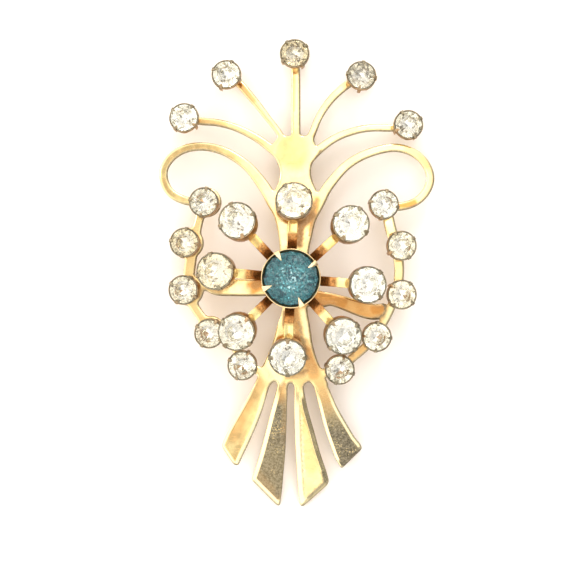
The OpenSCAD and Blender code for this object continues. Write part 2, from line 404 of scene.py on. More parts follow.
class Sheet:
    """A node tree that is filled in from left to right."""

    def __init__(self, tree: Tree) -> None:
        """Takes the tree that is filled in."""
        self.tree = tree

    @classmethod
    def blank(cls, owner: bpy.types.Material | bpy.types.World) -> Sheet:
        """Empties the node tree of a new material or world.

        Args:
            owner: the material or world.

        Returns:
            The sheet that fills it in.
        """
        owner.use_nodes = True
        owner.node_tree.nodes.clear()
        return cls(owner.node_tree)

    def node(
        self, kind: str, values: dict[str | int, object] | None = None, **settings: object
    ) -> bpy.types.Node:
        """Adds a node.

        Args:
            kind: the node's type.
            values: numbers or sockets for its inputs, by the input's name or number.
            settings: properties of the node itself.

        Returns:
            The node.
        """
        made = self.tree.nodes.new(kind)
        for name, value in settings.items():
            setattr(made, name, value)
        for key, value in (values or {}).items():
            self.feed(made.inputs[key], value)
        return made

    def feed(self, socket: Socket, value: object) -> None:
        """Links a socket to an output, or sets it to a number."""
        if isinstance(value, bpy.types.NodeSocket):
            self.tree.links.new(value, socket)
        elif socket.type == "RGBA" and len(value) == 3:
            socket.default_value = (*value, 1.0)
        else:
            socket.default_value = value

    def math(self, operation: str, first: object, second: object = 0.0, clamp: bool = False) -> Socket:
        """Adds a Math node and returns its output."""
        return self.node(
            "ShaderNodeMath", {0: first, 1: second}, operation=operation, use_clamp=clamp
        ).outputs[0]

    def ramp(self, value: object, low: float, high: float, start: float = 0.0, end: float = 1.0) -> Socket:
        """Adds a smooth Map Range node and returns its output."""
        return self.node(
            "ShaderNodeMapRange",
            {"Value": value, "From Min": low, "From Max": high, "To Min": start, "To Max": end},
            interpolation_type="SMOOTHSTEP",
        ).outputs["Result"]

    def ramp_line(self, value: object, low: float, high: float) -> Socket:
        """Adds a straight Map Range node from 0 to 1 and returns its output."""
        return self.node(
            "ShaderNodeMapRange", {"Value": value, "From Min": low, "From Max": high}
        ).outputs["Result"]

    def mix(self, share: object, first: object, second: object) -> Socket:
        """Adds a colour Mix node and returns its output."""
        values = {0: share, 6: first, 7: second}
        return self.node("ShaderNodeMix", values, data_type="RGBA").outputs[2]

    def attribute(self, name: str) -> Socket:
        """Adds an Attribute node and returns the number that it reads."""
        return self.node("ShaderNodeAttribute", attribute_name=name).outputs["Fac"]

    def object_point(self) -> Socket:
        """Adds a Texture Coordinate node and returns the place on the object."""
        return self.node("ShaderNodeTexCoord").outputs["Object"]

    def noise(self, point: Socket, scale: object, detail: float, roughness: float = 0.5) -> Socket:
        """Adds a Noise Texture node and returns its mask."""
        values = {"Vector": point, "Scale": scale, "Detail": detail, "Roughness": roughness}
        return self.node("ShaderNodeTexNoise", values).outputs["Fac"]

    def vector_math(self, operation: str, first: Socket, second: object, output: str = "Vector") -> Socket:
        """Adds a Vector Math node and returns an output of it."""
        values = {0: first, "Scale" if operation == "SCALE" else 1: second}
        return self.node("ShaderNodeVectorMath", values, operation=operation).outputs[output]

    def bump(self, strength: float, distance: float, height: Socket) -> Socket:
        """Adds a Bump node and returns the normal that it makes."""
        values = {"Strength": strength, "Distance": distance, "Height": height}
        return self.node("ShaderNodeBump", values).outputs["Normal"]

    def effect(self, group: Tree, **values: object) -> bpy.types.NodeOutputs:
        """Adds a shared group with its own values and returns its outputs."""
        return self.node("ShaderNodeGroup", values, node_tree=group).outputs

    def sink(self, values: dict[str, Socket]) -> None:
        """Ends a group with its output node."""
        self.node("NodeGroupOutput", values)

    def surface(self, values: dict[str, object]) -> None:
        """Ends a material with its Principled shader and the output node."""
        shader = self.node("ShaderNodeBsdfPrincipled", values)
        self.node("ShaderNodeOutputMaterial", {"Surface": shader.outputs[0]})


class Effects:
    """Shader groups that more than one finish or stone uses, each made once."""

    made: dict[str, Tree] = {}
    haze_scale: float = 900.0
    blotch_scale: float = 330.0
    dent_scale: float = 420.0
    scratch_scale: float = 260.0
    scratch_turns: tuple[tuple[float, float], ...] = ((0.5, 26.0), (2.1, 34.0))
    scratch_depth: float = 0.05
    drift_scale: float = 420.0
    fleck_edge: float = 9.0
    streak_scale: float = 5.0
    streak_shift: float = 90.0

    @classmethod
    def group(
        cls, name: str, inputs: dict[str, tuple[str, object]], outputs: Sequence[str]
    ) -> tuple[Tree, Sheet, bpy.types.NodeOutputs]:
        """Starts a node group with named sockets.

        Args:
            name: the group's name.
            inputs: socket type and default by name.
            outputs: names of the numbers that it puts out.

        Returns:
            The group, the sheet that fills it in, and what comes in.
        """
        tree = bpy.data.node_groups.new(name, "ShaderNodeTree")
        for label, (kind, value) in inputs.items():
            socket = tree.interface.new_socket(label, in_out="INPUT", socket_type=kind)
            if value is not None:
                socket.default_value = value
        for label in outputs:
            tree.interface.new_socket(label, in_out="OUTPUT", socket_type="NodeSocketFloat")
        cls.made[name] = tree
        sheet = Sheet(tree)
        return tree, sheet, sheet.node("NodeGroupInput").outputs

    @classmethod
    def handling(cls) -> Tree:
        """Marks that years of handling leave on plated metal: haze, fine scratches, dents and blotches.

        Returns:
            The group, made at its first use.
        """
        if "handling" in cls.made:
            return cls.made["handling"]
        tree, sheet, source = cls.group(
            "handling",
            {"Vector": ("NodeSocketVector", None), "Grain": ("NodeSocketFloat", 1.0)},
            ("Haze", "Height", "Blotch"),
        )
        point = source["Vector"]
        haze_scale, blotch_scale, dent_scale = (
            sheet.math("MULTIPLY", source["Grain"], scale)
            for scale in (cls.haze_scale, cls.blotch_scale, cls.dent_scale)
        )
        haze = sheet.noise(point, haze_scale, 4.0, 0.6)
        blotch = sheet.noise(point, blotch_scale, 3.0, 0.55)
        height = sheet.noise(point, dent_scale, 1.0)
        for turn, stretch in cls.scratch_turns:
            laid = sheet.node(
                "ShaderNodeMapping",
                {"Vector": point, "Rotation": (0.0, 0.0, turn), "Scale": (1.0, stretch, stretch)},
            ).outputs["Vector"]
            cut = sheet.ramp(sheet.noise(laid, cls.scratch_scale, 2.0, 0.7), 0.63, 0.72)
            height = sheet.math("SUBTRACT", height, sheet.math("MULTIPLY", cut, cls.scratch_depth))
        sheet.sink({
            "Haze": sheet.ramp(haze, 0.35, 0.7),
            "Height": height,
            "Blotch": sheet.ramp(blotch, 0.42, 0.62),
        })
        return tree

    @classmethod
    def flecks(cls) -> Tree:
        """Small irregular flecks in a mask.

        Returns:
            The group, made at its first use.
        """
        if "flecks" in cls.made:
            return cls.made["flecks"]
        tree, sheet, source = cls.group(
            "flecks",
            {
                "Vector": ("NodeSocketVector", None),
                "Scale": ("NodeSocketFloat", 3000.0),
                "Amount": ("NodeSocketFloat", 0.4),
                "Spread": ("NodeSocketFloat", 0.7),
            },
            ("Mask",),
        )
        small = sheet.noise(source["Vector"], source["Scale"], 3.0, 0.75)
        large = sheet.noise(source["Vector"], cls.drift_scale, 2.0)
        drift = sheet.math("MULTIPLY", sheet.math("SUBTRACT", large, 0.5), source["Spread"])
        edge = sheet.math("SUBTRACT", 1.0, source["Amount"])
        over = sheet.math("SUBTRACT", sheet.math("ADD", small, drift), edge)
        sheet.sink({"Mask": sheet.math("MULTIPLY", over, cls.fleck_edge, clamp=True)})
        return tree

    @classmethod
    def streaks(cls) -> Tree:
        """Fine streaks that run out from the middle of a stone's back.

        Returns:
            The group, made at its first use.
        """
        if "streaks" in cls.made:
            return cls.made["streaks"]
        tree, sheet, source = cls.group(
            "streaks",
            {"Vector": ("NodeSocketVector", None), "Plan": ("NodeSocketVector", None)},
            ("Mask",),
        )
        arm = sheet.vector_math("SUBTRACT", source["Plan"], (0.5, 0.5, 0.0))
        way = sheet.vector_math("NORMALIZE", arm, (0.0, 0.0, 0.0))
        shift = sheet.vector_math("SCALE", source["Vector"], cls.streak_shift)
        lines = sheet.noise(sheet.vector_math("ADD", way, shift), cls.streak_scale, 3.0, 0.6)
        length = sheet.vector_math("LENGTH", arm, (0.0, 0.0, 0.0), "Value")
        mask = sheet.math("MULTIPLY", sheet.ramp(lines, 0.52, 0.60), sheet.ramp(length, 0.02, 0.15))
        sheet.sink({"Mask": mask})
        return tree


@dataclass(frozen=True)
class MetalFinish:
    """A plated metal: haze, dents, warm blotches, wear and tarnishing, with painted shade and highlights."""

    name: str
    colour: Colour
    warm: Colour
    wear_and_highlight: Colour
    tarnish_and_shade: Colour
    roughness: float = 0.12
    haze: float = 0.12
    blotch: float = 0.25
    grain: float = 1.0
    dents: float = 0.5
    grime: float = 0.0
    dent_depth: float = 0.00004
    worn_share: float = 0.8
    speck_scale: float = 5200.0
    speck_share: float = 0.85
    grit_scale: float = 3400.0
    grit_levels: tuple[float, float] = (0.7, 1.75)
    tarnish_roughness: float = 0.34

    def material(self) -> bpy.types.Material:
        """Makes the material.

        Three attributes, from 0 to 1, make a piece warmer, paler and darker, for staining, wear and
        tarnishing, and also for painted reflection, painted highlights and painted shade.

        Returns:
            The material.
        """
        made = bpy.data.materials.new(self.name)
        sheet = Sheet.blank(made)
        point = sheet.object_point()
        marks = sheet.effect(Effects.handling(), Vector=point, Grain=self.grain)
        specks = sheet.effect(Effects.flecks(), Vector=point, Scale=self.speck_scale, Amount=0.4, Spread=0.4)
        blotch = sheet.math("MULTIPLY", marks["Blotch"], self.blotch)
        # Warm staining and painted reflection, paler wear and painted highlights, darker tarnishing and
        # painted shade.
        stain_and_shading = sheet.math("ADD", blotch, sheet.attribute("warm"), clamp=True)
        rubbing_and_highlight = sheet.math("MULTIPLY", sheet.attribute("wear_and_highlight"), self.worn_share)
        plate = sheet.mix(rubbing_and_highlight, sheet.mix(stain_and_shading, self.colour, self.warm), self.wear_and_highlight)
        kept = sheet.math("SUBTRACT", 1.0, sheet.math("MULTIPLY", specks["Mask"], self.speck_share))
        dark = sheet.math("MULTIPLY", sheet.attribute("tarnish_and_shade_mask"), kept, clamp=True)
        dark = sheet.math("ADD", dark, sheet.math("MULTIPLY", marks["Haze"], self.grime), clamp=True)
        grit = sheet.ramp(sheet.noise(point, self.grit_scale, 3.0, 0.8), 0.38, 0.62)
        dim, lit = (tuple(level * part for part in self.tarnish_and_shade) for level in self.grit_levels)
        rough = sheet.math("MULTIPLY", marks["Haze"], self.haze)
        rough = sheet.math("ADD", rough, sheet.math("MULTIPLY", dark, self.tarnish_roughness))
        sheet.surface({
            "Base Color": sheet.mix(dark, plate, sheet.mix(grit, dim, lit)),
            "Metallic": 1.0,
            "Roughness": sheet.math("ADD", rough, self.roughness, clamp=True),
            "Normal": sheet.bump(self.dents, self.dent_depth, marks["Height"]),
        })
        return made


@dataclass(frozen=True)
class GlassFinish:
    """Clear or tinted glass, with faint rubbing on its facets."""

    name: str
    colour: Colour
    index: float = 1.6
    roughness: float = 0.01
    rubbing: float = 0.03
    grain: float = 1.6

    def material(self) -> bpy.types.Material:
        """Makes the material.

        Returns:
            The material.
        """
        made = bpy.data.materials.new(self.name)
        sheet = Sheet.blank(made)
        marks = sheet.effect(Effects.handling(), Vector=sheet.object_point(), Grain=self.grain)
        rubbing_and_highlight = sheet.math("MULTIPLY", marks["Haze"], self.rubbing)
        sheet.surface({
            "Base Color": self.colour,
            "Metallic": 0.0,
            "Roughness": sheet.math("ADD", rubbing_and_highlight, self.roughness),
            "IOR": self.index,
            "Transmission Weight": 1.0,
        })
        return made


@dataclass(frozen=True)
class FoilFinish:
    """The mirror foil behind a stone, stained, smoky, crackled and strewn with sparks."""

    name: str
    colour: Colour
    deep: Colour
    spark: Colour
    crackle: float
    scale: float
    roughness: float
    stains: float
    sparks: float
    smoke: float
    rays: float
    amber: Colour = (0.86, 0.72, 0.42)
    crackle_depth: float = 0.0002
    cloud_grain: float = 2.4
    stain_ratio: float = 1.3
    stain_share: float = 0.7
    drift: float = 0.1
    spark_shift: tuple[float, float, float] = (0.013, 0.007, 0.0)

    def material(self) -> bpy.types.Material:
        """Makes the material.

        The attributes tone, warm and lines, from 0 to 1, give each stone its own shade.

        Returns:
            The material.
        """
        made = bpy.data.materials.new(self.name)
        sheet = Sheet.blank(made)
        point = sheet.object_point()
        cells = sheet.node("ShaderNodeTexVoronoi", {"Vector": point, "Scale": self.scale}, feature="F1")
        cloud = sheet.effect(Effects.handling(), Vector=point, Grain=self.cloud_grain)
        specks = sheet.effect(
            Effects.flecks(),
            Vector=point, Scale=self.scale * self.stain_ratio, Amount=self.stains, Spread=self.drift,
        )
        shifted = sheet.node("ShaderNodeMapping", {"Vector": point, "Location": self.spark_shift})
        stars = sheet.effect(
            Effects.flecks(),
            Vector=shifted.outputs["Vector"], Scale=self.scale, Amount=self.sparks, Spread=self.drift,
        )
        plan = sheet.node("ShaderNodeTexCoord").outputs["UV"]
        streaks = sheet.effect(Effects.streaks(), Vector=point, Plan=plan)
        lines = sheet.math("MULTIPLY", streaks["Mask"], sheet.attribute("lines"))
        stain_and_shading = sheet.math("MULTIPLY", specks["Mask"], self.stain_share)
        stain_and_shading = sheet.math("ADD", stain_and_shading, sheet.math("MULTIPLY", cloud["Blotch"], self.smoke))
        stain_and_shading = sheet.math("ADD", stain_and_shading, sheet.math("MULTIPLY", lines, self.rays))
        stain_and_shading = sheet.math("ADD", stain_and_shading, sheet.attribute("tone"), clamp=True)
        colour = sheet.mix(sheet.attribute("warm"), self.colour, self.amber)
        colour = sheet.mix(stain_and_shading, colour, self.deep)
        sheet.surface({
            "Base Color": sheet.mix(stars["Mask"], colour, self.spark),
            "Metallic": 1.0,
            "Roughness": self.roughness,
            "Normal": sheet.bump(self.crackle, self.crackle_depth, cells.outputs["Distance"]),
        })
        return made


# Orange-brown of warm staining on the gilt, also used for painted reflection and painted shade.
WARM_GILT: Colour = (0.60, 0.27, 0.07)
# The sheet's dark colour serves its tarnished bars and also its painted shade.
SHEET_GILT = MetalFinish(
    "gilt_sheet_plate", (0.96, 0.735, 0.34), WARM_GILT, (1.0, 0.87, 0.52), (0.16, 0.135, 0.09),
    blotch=0.15, dents=0.8,
)
# The flower's dark colour is a painted reflection, near the hub, of the ring's dark wall.
FLOWER_GILT = MetalFinish(
    "gilt_flower_plate", (0.98, 0.85, 0.36), WARM_GILT, (1.0, 0.88, 0.58), (0.36, 0.17, 0.055),
    blotch=0.12, grain=1.3, dents=0.7,
)
RING_GILT = MetalFinish(
    "gilt_ring_plate", (0.93, 0.74, 0.42), (0.60, 0.34, 0.13), (0.98, 0.84, 0.62), (0.17, 0.16, 0.10),
    blotch=0.3, grain=1.3, dents=0.7,
)
CUP_GILT = MetalFinish(
    "cup_plate", (0.34, 0.29, 0.19), (0.50, 0.29, 0.13), (0.86, 0.80, 0.62), (0.10, 0.085, 0.055),
    roughness=0.2, haze=0.2, blotch=0.5, grain=2.2, grime=0.35,
)
PIN_STEEL = MetalFinish(
    "pin_plate", (0.62, 0.58, 0.50), (0.45, 0.34, 0.22), (0.85, 0.83, 0.78), (0.16, 0.13, 0.10),
    roughness=0.22, haze=0.15, blotch=0.3, grain=1.8, grime=0.15,
)
CLEAR_GLASS = GlassFinish("clear_stone_glass", (1.0, 1.0, 0.99))
TEAL_GLASS = GlassFinish("teal_stone_glass", (0.70, 0.88, 0.90), roughness=0.03)
CLEAR_FOIL = FoilFinish(
    "clear_stone_foil", (0.99, 0.98, 0.92), (0.30, 0.26, 0.18), (1.0, 1.0, 0.98),
    crackle=0.1, scale=1900.0, roughness=0.13, stains=0.41, sparks=0.30, smoke=0.05, rays=1.0,
)
TEAL_FOIL = FoilFinish(
    "teal_stone_foil", (0.28, 0.70, 0.72), (0.02, 0.11, 0.15), (0.85, 1.0, 0.98),
    crackle=0.8, scale=2300.0, roughness=0.28, stains=0.53, sparks=0.47, smoke=0.35, rays=0.0,
)


class Outline:
    """The closed edges of the sheet in plan, with the metal on the left of each."""

    dense_step: float = 0.05
    least_corners: int = 8
    least_points: int = 12
    nearest_share: float = 0.96
    block: int = 2000
    row_height: float = 0.866

    def __init__(self, loops: list[np.ndarray]) -> None:
        """Samples the edges closely and plants them in a tree.

        Args:
            loops: the points of each closed edge.
        """
        self.loops = loops
        parts = [self.sampled(loop, self.dense_step) for loop in loops]
        self.dense = np.concatenate(parts)
        self.facing = -np.concatenate([self.inward(part, 3) for part in parts])
        self.tree = self.planted(self.dense)
        self.starts = np.concatenate(loops)
        self.ends = np.concatenate([np.roll(loop, -1, axis=0) for loop in loops])

    @staticmethod
    def planted(points: np.ndarray) -> KDTree:
        """Puts points of the plan in a tree that finds the nearest.

        Args:
            points: points of the plan.

        Returns:
            The tree.
        """
        tree = KDTree(len(points))
        for index, (u, v) in enumerate(points):
            tree.insert((u, v, 0.0), index)
        tree.balance()
        return tree

    @staticmethod
    def inward(loop: np.ndarray, reach: int) -> np.ndarray:
        """Directions that point from a loop's points into the metal.

        Args:
            loop: the loop's points.
            reach: how many points on each side set the direction.

        Returns:
            The directions, each one long.
        """
        along = np.roll(loop, -reach, axis=0) - np.roll(loop, reach, axis=0)
        along /= np.linalg.norm(along, axis=1)[:, None]
        return np.column_stack([-along[:, 1], along[:, 0]])

    @classmethod
    def sampled(cls, loop: np.ndarray, step: float) -> np.ndarray:
        """Spaces a loop's points evenly.

        Args:
            loop: the loop's points.
            step: the wanted distance between points.

        Returns:
            The new points.
        """
        closed = np.vstack([loop, loop[:1]])
        along = np.concatenate([[0.0], np.cumsum(np.linalg.norm(np.diff(closed, axis=0), axis=1))])
        count = max(cls.least_points, round(along[-1] / step))
        places = np.linspace(0.0, along[-1], count, endpoint=False)
        return np.column_stack([np.interp(places, along, closed[:, axis]) for axis in (0, 1)])

    @classmethod
    def of(cls, node: Piece, step: float, rounds: int) -> Outline:
        """Reads the outline of a CAD sheet's face from a merged copy of its mesh.

        Args:
            node: the CAD node.
            step: the distance between the outline's points.
            rounds: how often the corners are eased.

        Returns:
            The outline.
        """
        copy = node.copy()
        copy.data = node.data.copy()
        bpy.context.scene.collection.objects.link(copy)
        copy.data.transform(Matrix.Scale(1.0 / MM, 4))
        with Bench.edit(copy):
            bpy.ops.mesh.select_all(action="SELECT")
            bpy.ops.mesh.remove_doubles(threshold=SAME_POINT)
            Bench.choose(copy, Part.FACE, lambda face: face.normal.z < 0.5)
            bpy.ops.mesh.delete(type="FACE")
        mesh = bmesh.new()
        mesh.from_mesh(copy.data)
        follow = {}
        for edge in mesh.edges:
            if len(edge.link_loops) == 1:
                loop = edge.link_loops[0]
                follow[loop.vert.index] = loop.link_loop_next.vert.index
        places = {vert.index: (vert.co.x, vert.co.y) for vert in mesh.verts}
        loops = []
        while follow:
            first = next(iter(follow))
            chain = []
            here = first
            while here in follow:
                chain.append(places[here])
                here = follow.pop(here)
            if len(chain) > cls.least_corners:
                loops.append(np.array(chain) - np.array(DOME.centre))
        mesh.free()
        bpy.data.objects.remove(copy)
        eased = []
        for loop in loops:
            points = cls.sampled(loop, step)
            for _ in range(rounds):
                points = 0.5 * points + 0.25 * (np.roll(points, 1, axis=0) + np.roll(points, -1, axis=0))
            eased.append(points)
        return cls(eased)

    def distance(self, points: np.ndarray, tree: KDTree | None = None) -> np.ndarray:
        """Distance of each point from the outline, or from a part of it."""
        tree = tree or self.tree
        return np.array([tree.find((u, v, 0.0))[2] for u, v in points])

    def outward(self, points: np.ndarray) -> np.ndarray:
        """Direction that the nearest edge of each point faces."""
        return self.facing[[self.tree.find((u, v, 0.0))[1] for u, v in points]]

    def inside(self, points: np.ndarray) -> np.ndarray:
        """Says of each point whether it lies on the metal.

        Args:
            points: points of the plan.

        Returns:
            True for each point on the metal.
        """
        result = np.zeros(len(points), bool)
        u0, v0 = self.starts.T
        u1, v1 = self.ends.T
        for first in range(0, len(points), self.block):
            u, v = points[first : first + self.block].T[:, :, None]
            crosses = (v0 > v) != (v1 > v)
            with np.errstate(divide="ignore", invalid="ignore"):
                where = u0 + (v - v0) * (u1 - u0) / (v1 - v0)
            result[first : first + self.block] = (crosses & (u < where)).sum(axis=1) % 2 == 1
        return result

    def rows(self, depths: Sequence[float]) -> np.ndarray:
        """Points that lie at the given depths from the edge.

        Args:
            depths: distances from the outline, into the metal.

        Returns:
            The points, without those that another part of the edge is nearer to.
        """
        found = []
        for loop in self.loops:
            inward = self.inward(loop, 1)
            for depth in depths:
                points = loop + inward * depth
                near = self.distance(points)
                found.append(points[near > self.nearest_share * depth])
        points = np.concatenate(found)
        return points[self.inside(points)]

    def fill(
        self, depths: Sequence[float], pitch: float, margin: float
    ) -> tuple[np.ndarray, list[tuple[int, ...]]]:
        """Fills the outline with triangles whose points follow its edge.

        Args:
            depths: the depths at which rows of points follow the edge.
            pitch: the distance between the points further in.
            margin: how far those stay from the edge.

        Returns:
            The points, the outline's own first, and the triangles.
        """
        low, high = self.starts.min(axis=0), self.starts.max(axis=0)
        across = np.arange(low[0], high[0], pitch)
        up = np.arange(low[1], high[1], pitch * self.row_height)
        grid = np.array([(u + (row % 2) * pitch / 2, v) for row, v in enumerate(up) for u in across])
        grid = grid[self.inside(grid)]
        grid = grid[self.distance(grid) > margin]
        parts = [self.starts, grid]
        if depths:
            parts.insert(1, self.rows(depths))
        points = np.concatenate(parts)
        edges = []
        first = 0
        for loop in self.loops:
            count = len(loop)
            edges += [(first + index, first + (index + 1) % count) for index in range(count)]
            first += count
        made = delaunay_2d_cdt([Vector(point) for point in points], edges, [], 0, 1e-6)
        points = np.array([tuple(point) for point in made[0]])
        triangles = [tuple(face) for face in made[2]]
        middles = points[np.array(triangles)].mean(axis=1)
        keep = self.inside(middles)
        return points, [face for face, kept in zip(triangles, keep) if kept]


@dataclass(frozen=True)
class Bevel:
    """A bevel along one side of a tail bar: its width and its fall."""

    width: float
    fall: float


@dataclass(frozen=True)
class Stroke:
    """A brush stroke in plan: from one point to another, half its width, and its strength."""

    u0: float
    v0: float
    u1: float
    v1: float
    reach: float
    strength: float

    def cover(self, points: np.ndarray) -> np.ndarray:
        """How strongly the stroke covers each point, softly towards its edge.

        Args:
            points: points of the plan.

        Returns:
            The strength at each point.
        """
        start = np.array([self.u0, self.v0])
        along = np.array([self.u1, self.v1]) - start
        share = np.clip(((points - start) @ along) / max(float(along @ along), 1e-9), 0.0, 1.0)
        gap = np.linalg.norm(points - start - share[:, None] * along, axis=1)
        return self.strength * (1.0 - smoothstep(gap, 0.4 * self.reach, self.reach))


@dataclass
class SprayFrame:
    """The pressed sheet: head, stems, scrolls, side chains, braces and the four tail bars.

    The boss has its plan position, radius and rise. Dividers and axes run from a root to an end. Each
    bar has a bevel on its left, at its end and on its right. The tarnished bars darken over the rise and
    clear a little over the wane, both measured from the centre stone down the tail, and the slow bar
    has a longer rise of its own. The edge line and its growth set the width of a painted shade line
    along the edges, widest where they face away from the light. The brush strokes colour the plating:
    the warm ones towards orange, partly staining and partly painted reflection and shade, the shade
    ones towards brown as painted shadow and dark reflection beside the cups and arms, the pale ones as
    painted highlights, and the black ones as painted shadow lines with a little darker tarnishing.
    """

    step: float = 0.2
    rounds: int = 3
    pitch: float = 0.36
    margin: float = 0.40
    back_pitch: float = 0.9
    back_margin: float = 0.3
    roll: float = 0.24
    inner_rows: tuple[float, ...] = (0.38, 0.48, 0.57, 0.63)
    outer_rows: tuple[float, ...] = (0.03, 0.08, 0.15)
    roll_drop: float = 0.2
    lip: float = 0.07
    lip_drop: float = 0.05
    boss: tuple[float, float, float, float] = (0.45, 16.3, 2.4, 0.045)
    tail_top: float = -13.4
    tail_full: float = -17.0
    dividers: tuple[tuple[float, float, float, float], ...] = (
        (-2.12, -13.85, -5.4, -22.0),
        (0.02, -14.0, -0.05, -26.0),
        (2.2, -14.0, 4.45, -22.0),
    )
    bar_axes: tuple[tuple[float, float, float, float], ...] = (
        (-3.3, -13.4, -7.4, -22.4),
        (-1.0, -13.4, -3.2, -27.6),
        (1.0, -13.4, 2.8, -27.6),
        (3.5, -13.4, 7.3, -22.2),
    )
    bar_tilts: tuple[float, ...] = (0.0, 2.0, 0.0, 2.0)
    bevels: tuple[tuple[Bevel, Bevel, Bevel], ...] = (
        (Bevel(0.36, 0.10), Bevel(0.36, 0.14), Bevel(0.6, 0.07)),
        (Bevel(0.6, 0.26), Bevel(0.6, 0.24), Bevel(0.12, 0.07)),
        (Bevel(0.7, 0.16), Bevel(0.6, 0.30), Bevel(0.6, 0.34)),
        (Bevel(0.45, 0.18), Bevel(0.2, 0.06), Bevel(0.5, 0.12)),
    )
    end_slope: float = -0.48
    end_from: float = -18.0
    dull_bars: tuple[float, ...] = (0.0, 1.0, 0.0, 1.0)
    dull_rise: tuple[float, float] = (13.8, 17.0)
    dull_wane: tuple[float, float] = (19.0, 23.0)
    slow_bar: int = 3
    slow_rise: tuple[float, float] = (12.0, 20.5)
    edge_line: tuple[float, float] = (0.03, 0.12)
    edge_growth: tuple[float, float] = (0.09, 0.27)
    # Warm strokes: partly warm staining of the plating, partly painted reflection, and on the tail bars
    # painted shade.
    warm: tuple[Stroke, ...] = (
        Stroke(-15.4, 16.2, -7.0, 16.6, 1.6, 0.3), Stroke(-13.0, 20.8, -9.0, 20.2, 1.2, 0.45),
        Stroke(-6.9, 25.6, -5.2, 23.6, 1.2, 0.6), Stroke(0.3, 28.0, 0.2, 22.0, 0.5, 0.5),
        Stroke(8.6, 26.1, 7.4, 25.2, 1.0, 0.45), Stroke(2.2, -2.2, 6.2, -2.8, 2.2, 1.0),
        Stroke(6.0, -3.1, 11.0, -4.2, 2.0, 0.76), Stroke(7.0, -10.6, 9.2, -9.0, 1.6, 0.55),
        Stroke(2.6, -9.6, 3.4, -13.0, 1.1, 0.45), Stroke(0.2, -13.2, 3.6, -13.4, 1.2, 0.3),
        Stroke(3.6, -13.4, 4.4, -17.0, 1.5, 0.4), Stroke(-4.2, -14.2, -6.6, -20.0, 1.2, 0.3),
        Stroke(-1.1, -13.4, -1.3, -16.0, 0.7, 0.6), Stroke(-1.8, -1.3, -5.0, -1.4, 1.0, 0.5),
        Stroke(3.4, 10.2, 2.7, 6.4, 0.6, 0.8), Stroke(-13.2, 2.6, -13.6, -0.4, 1.2, 0.25),
        Stroke(-16.9, 12.5, -15.8, 8.6, 1.0, 0.35), Stroke(3.5, -13.0, 4.6, -15.8, 1.1, 0.5),
        Stroke(-1.2, -9.0, -1.9, -12.5, 0.5, 0.35), Stroke(0.45, 17.2, 0.45, 16.2, 2.9, 0.48),
        Stroke(-4.4, -13.6, -7.4, -20.6, 1.2, 0.5), Stroke(1.1, -14.6, 2.6, -24.5, 1.5, 0.3),
        Stroke(-13.6, 7.0, -13.9, 1.0, 1.4, 0.25), Stroke(-13.9, 0.0, -12.4, -5.6, 1.4, 0.2),
        Stroke(-3.3, -0.5, -5.0, -1.2, 1.3, 1.0), Stroke(1.9, -9.6, 3.0, -12.4, 1.3, 0.75),
        Stroke(14.0, 9.65, 15.9, 9.85, 0.8, 1.0), Stroke(15.3, 16.6, 17.6, 15.0, 1.0, 0.3),
        Stroke(11.0, -4.0, 11.6, -3.6, 1.3, 1.0), Stroke(-0.7, -14.5, -0.85, -21.5, 0.6, 0.5),
        Stroke(-4.6, -25.4, -2.0, -28.4, 1.0, 0.4), Stroke(-7.5, 19.8, -3.0, 17.2, 1.3, 0.22),
        Stroke(-8.0, 16.2, -4.5, 13.0, 1.4, 0.22), Stroke(-4.9, -16.0, -6.8, -24.0, 1.2, 0.3),
        Stroke(0.6, -3.6, 0.95, -8.2, 0.6, 0.7), Stroke(0.1, 18.7, 0.1, 27.6, 0.28, 0.6),
    )
    # Pale strokes: painted highlights on the gilt.
    rubbing_and_highlight: tuple[Stroke, ...] = (
        Stroke(-3.6, -11.0, -1.9, -13.2, 1.3, 0.8), Stroke(-1.0, 7.5, -0.9, 4.5, 0.8, 0.4),
        Stroke(-5.9, -1.6, -7.4, -1.7, 1.0, 0.45), Stroke(13.5, -3.4, 12.4, -6.2, 0.8, 0.6),
        Stroke(12.6, 8.2, 13.2, 6.3, 0.8, 0.5), Stroke(1.15, -18.0, 1.55, -26.0, 0.35, 0.8),
        Stroke(1.75, -4.4, 2.35, -7.4, 0.7, 0.6),
    )
    # Shade strokes: painted shadow and painted dark reflection, mostly beside the cups and arms.
    shade: tuple[Stroke, ...] = (
        Stroke(1.1, 4.4, 1.35, 7.0, 0.6, 1.0), Stroke(1.4, 7.0, 2.7, 8.2, 0.85, 1.0),
        Stroke(2.7, 8.2, 2.95, 9.7, 0.5, 0.6), Stroke(3.3, 10.3, 2.45, 5.6, 0.25, 0.7),
        Stroke(0.75, -4.2, 1.3, -7.4, 0.5, 0.45), Stroke(1.9, -8.0, 2.6, -10.6, 0.5, 0.35),
        Stroke(-0.8, -4.4, -0.9, -6.2, 0.35, 0.7), Stroke(1.6, -12.6, -0.6, -12.9, 0.4, 0.5),
        Stroke(2.3, -9.0, 1.9, -12.0, 0.6, 0.35), Stroke(-0.95, -13.8, -1.0, -16.0, 0.5, 0.5),
        Stroke(10.6, -5.3, 12.0, -4.9, 0.5, 0.5), Stroke(5.0, -1.8, 8.2, -2.1, 0.35, 0.5),
        Stroke(4.6, -14.8, 5.4, -17.4, 0.8, 0.35), Stroke(-3.5, -0.4, -4.6, -0.9, 0.8, 0.5),
        Stroke(-9.6, -1.7, -12.2, -1.9, 1.0, 0.45), Stroke(0.2, -12.5, 2.2, -12.0, 0.3, 0.9),
        Stroke(2.7, 14.8, 3.9, 16.6, 0.3, 0.5), Stroke(2.95, 18.5, 3.5, 19.4, 0.25, 0.8),
        Stroke(2.2, -10.0, 3.0, -12.0, 0.8, 0.4), Stroke(7.3, -9.7, 8.0, -9.9, 0.45, 0.7),
        Stroke(9.2, -8.3, 9.9, -8.3, 0.45, 0.7), Stroke(3.0, -2.2, 5.6, -2.7, 1.5, 0.1),
        Stroke(11.4, -3.3, 12.3, -3.2, 0.9, 0.35),
    )
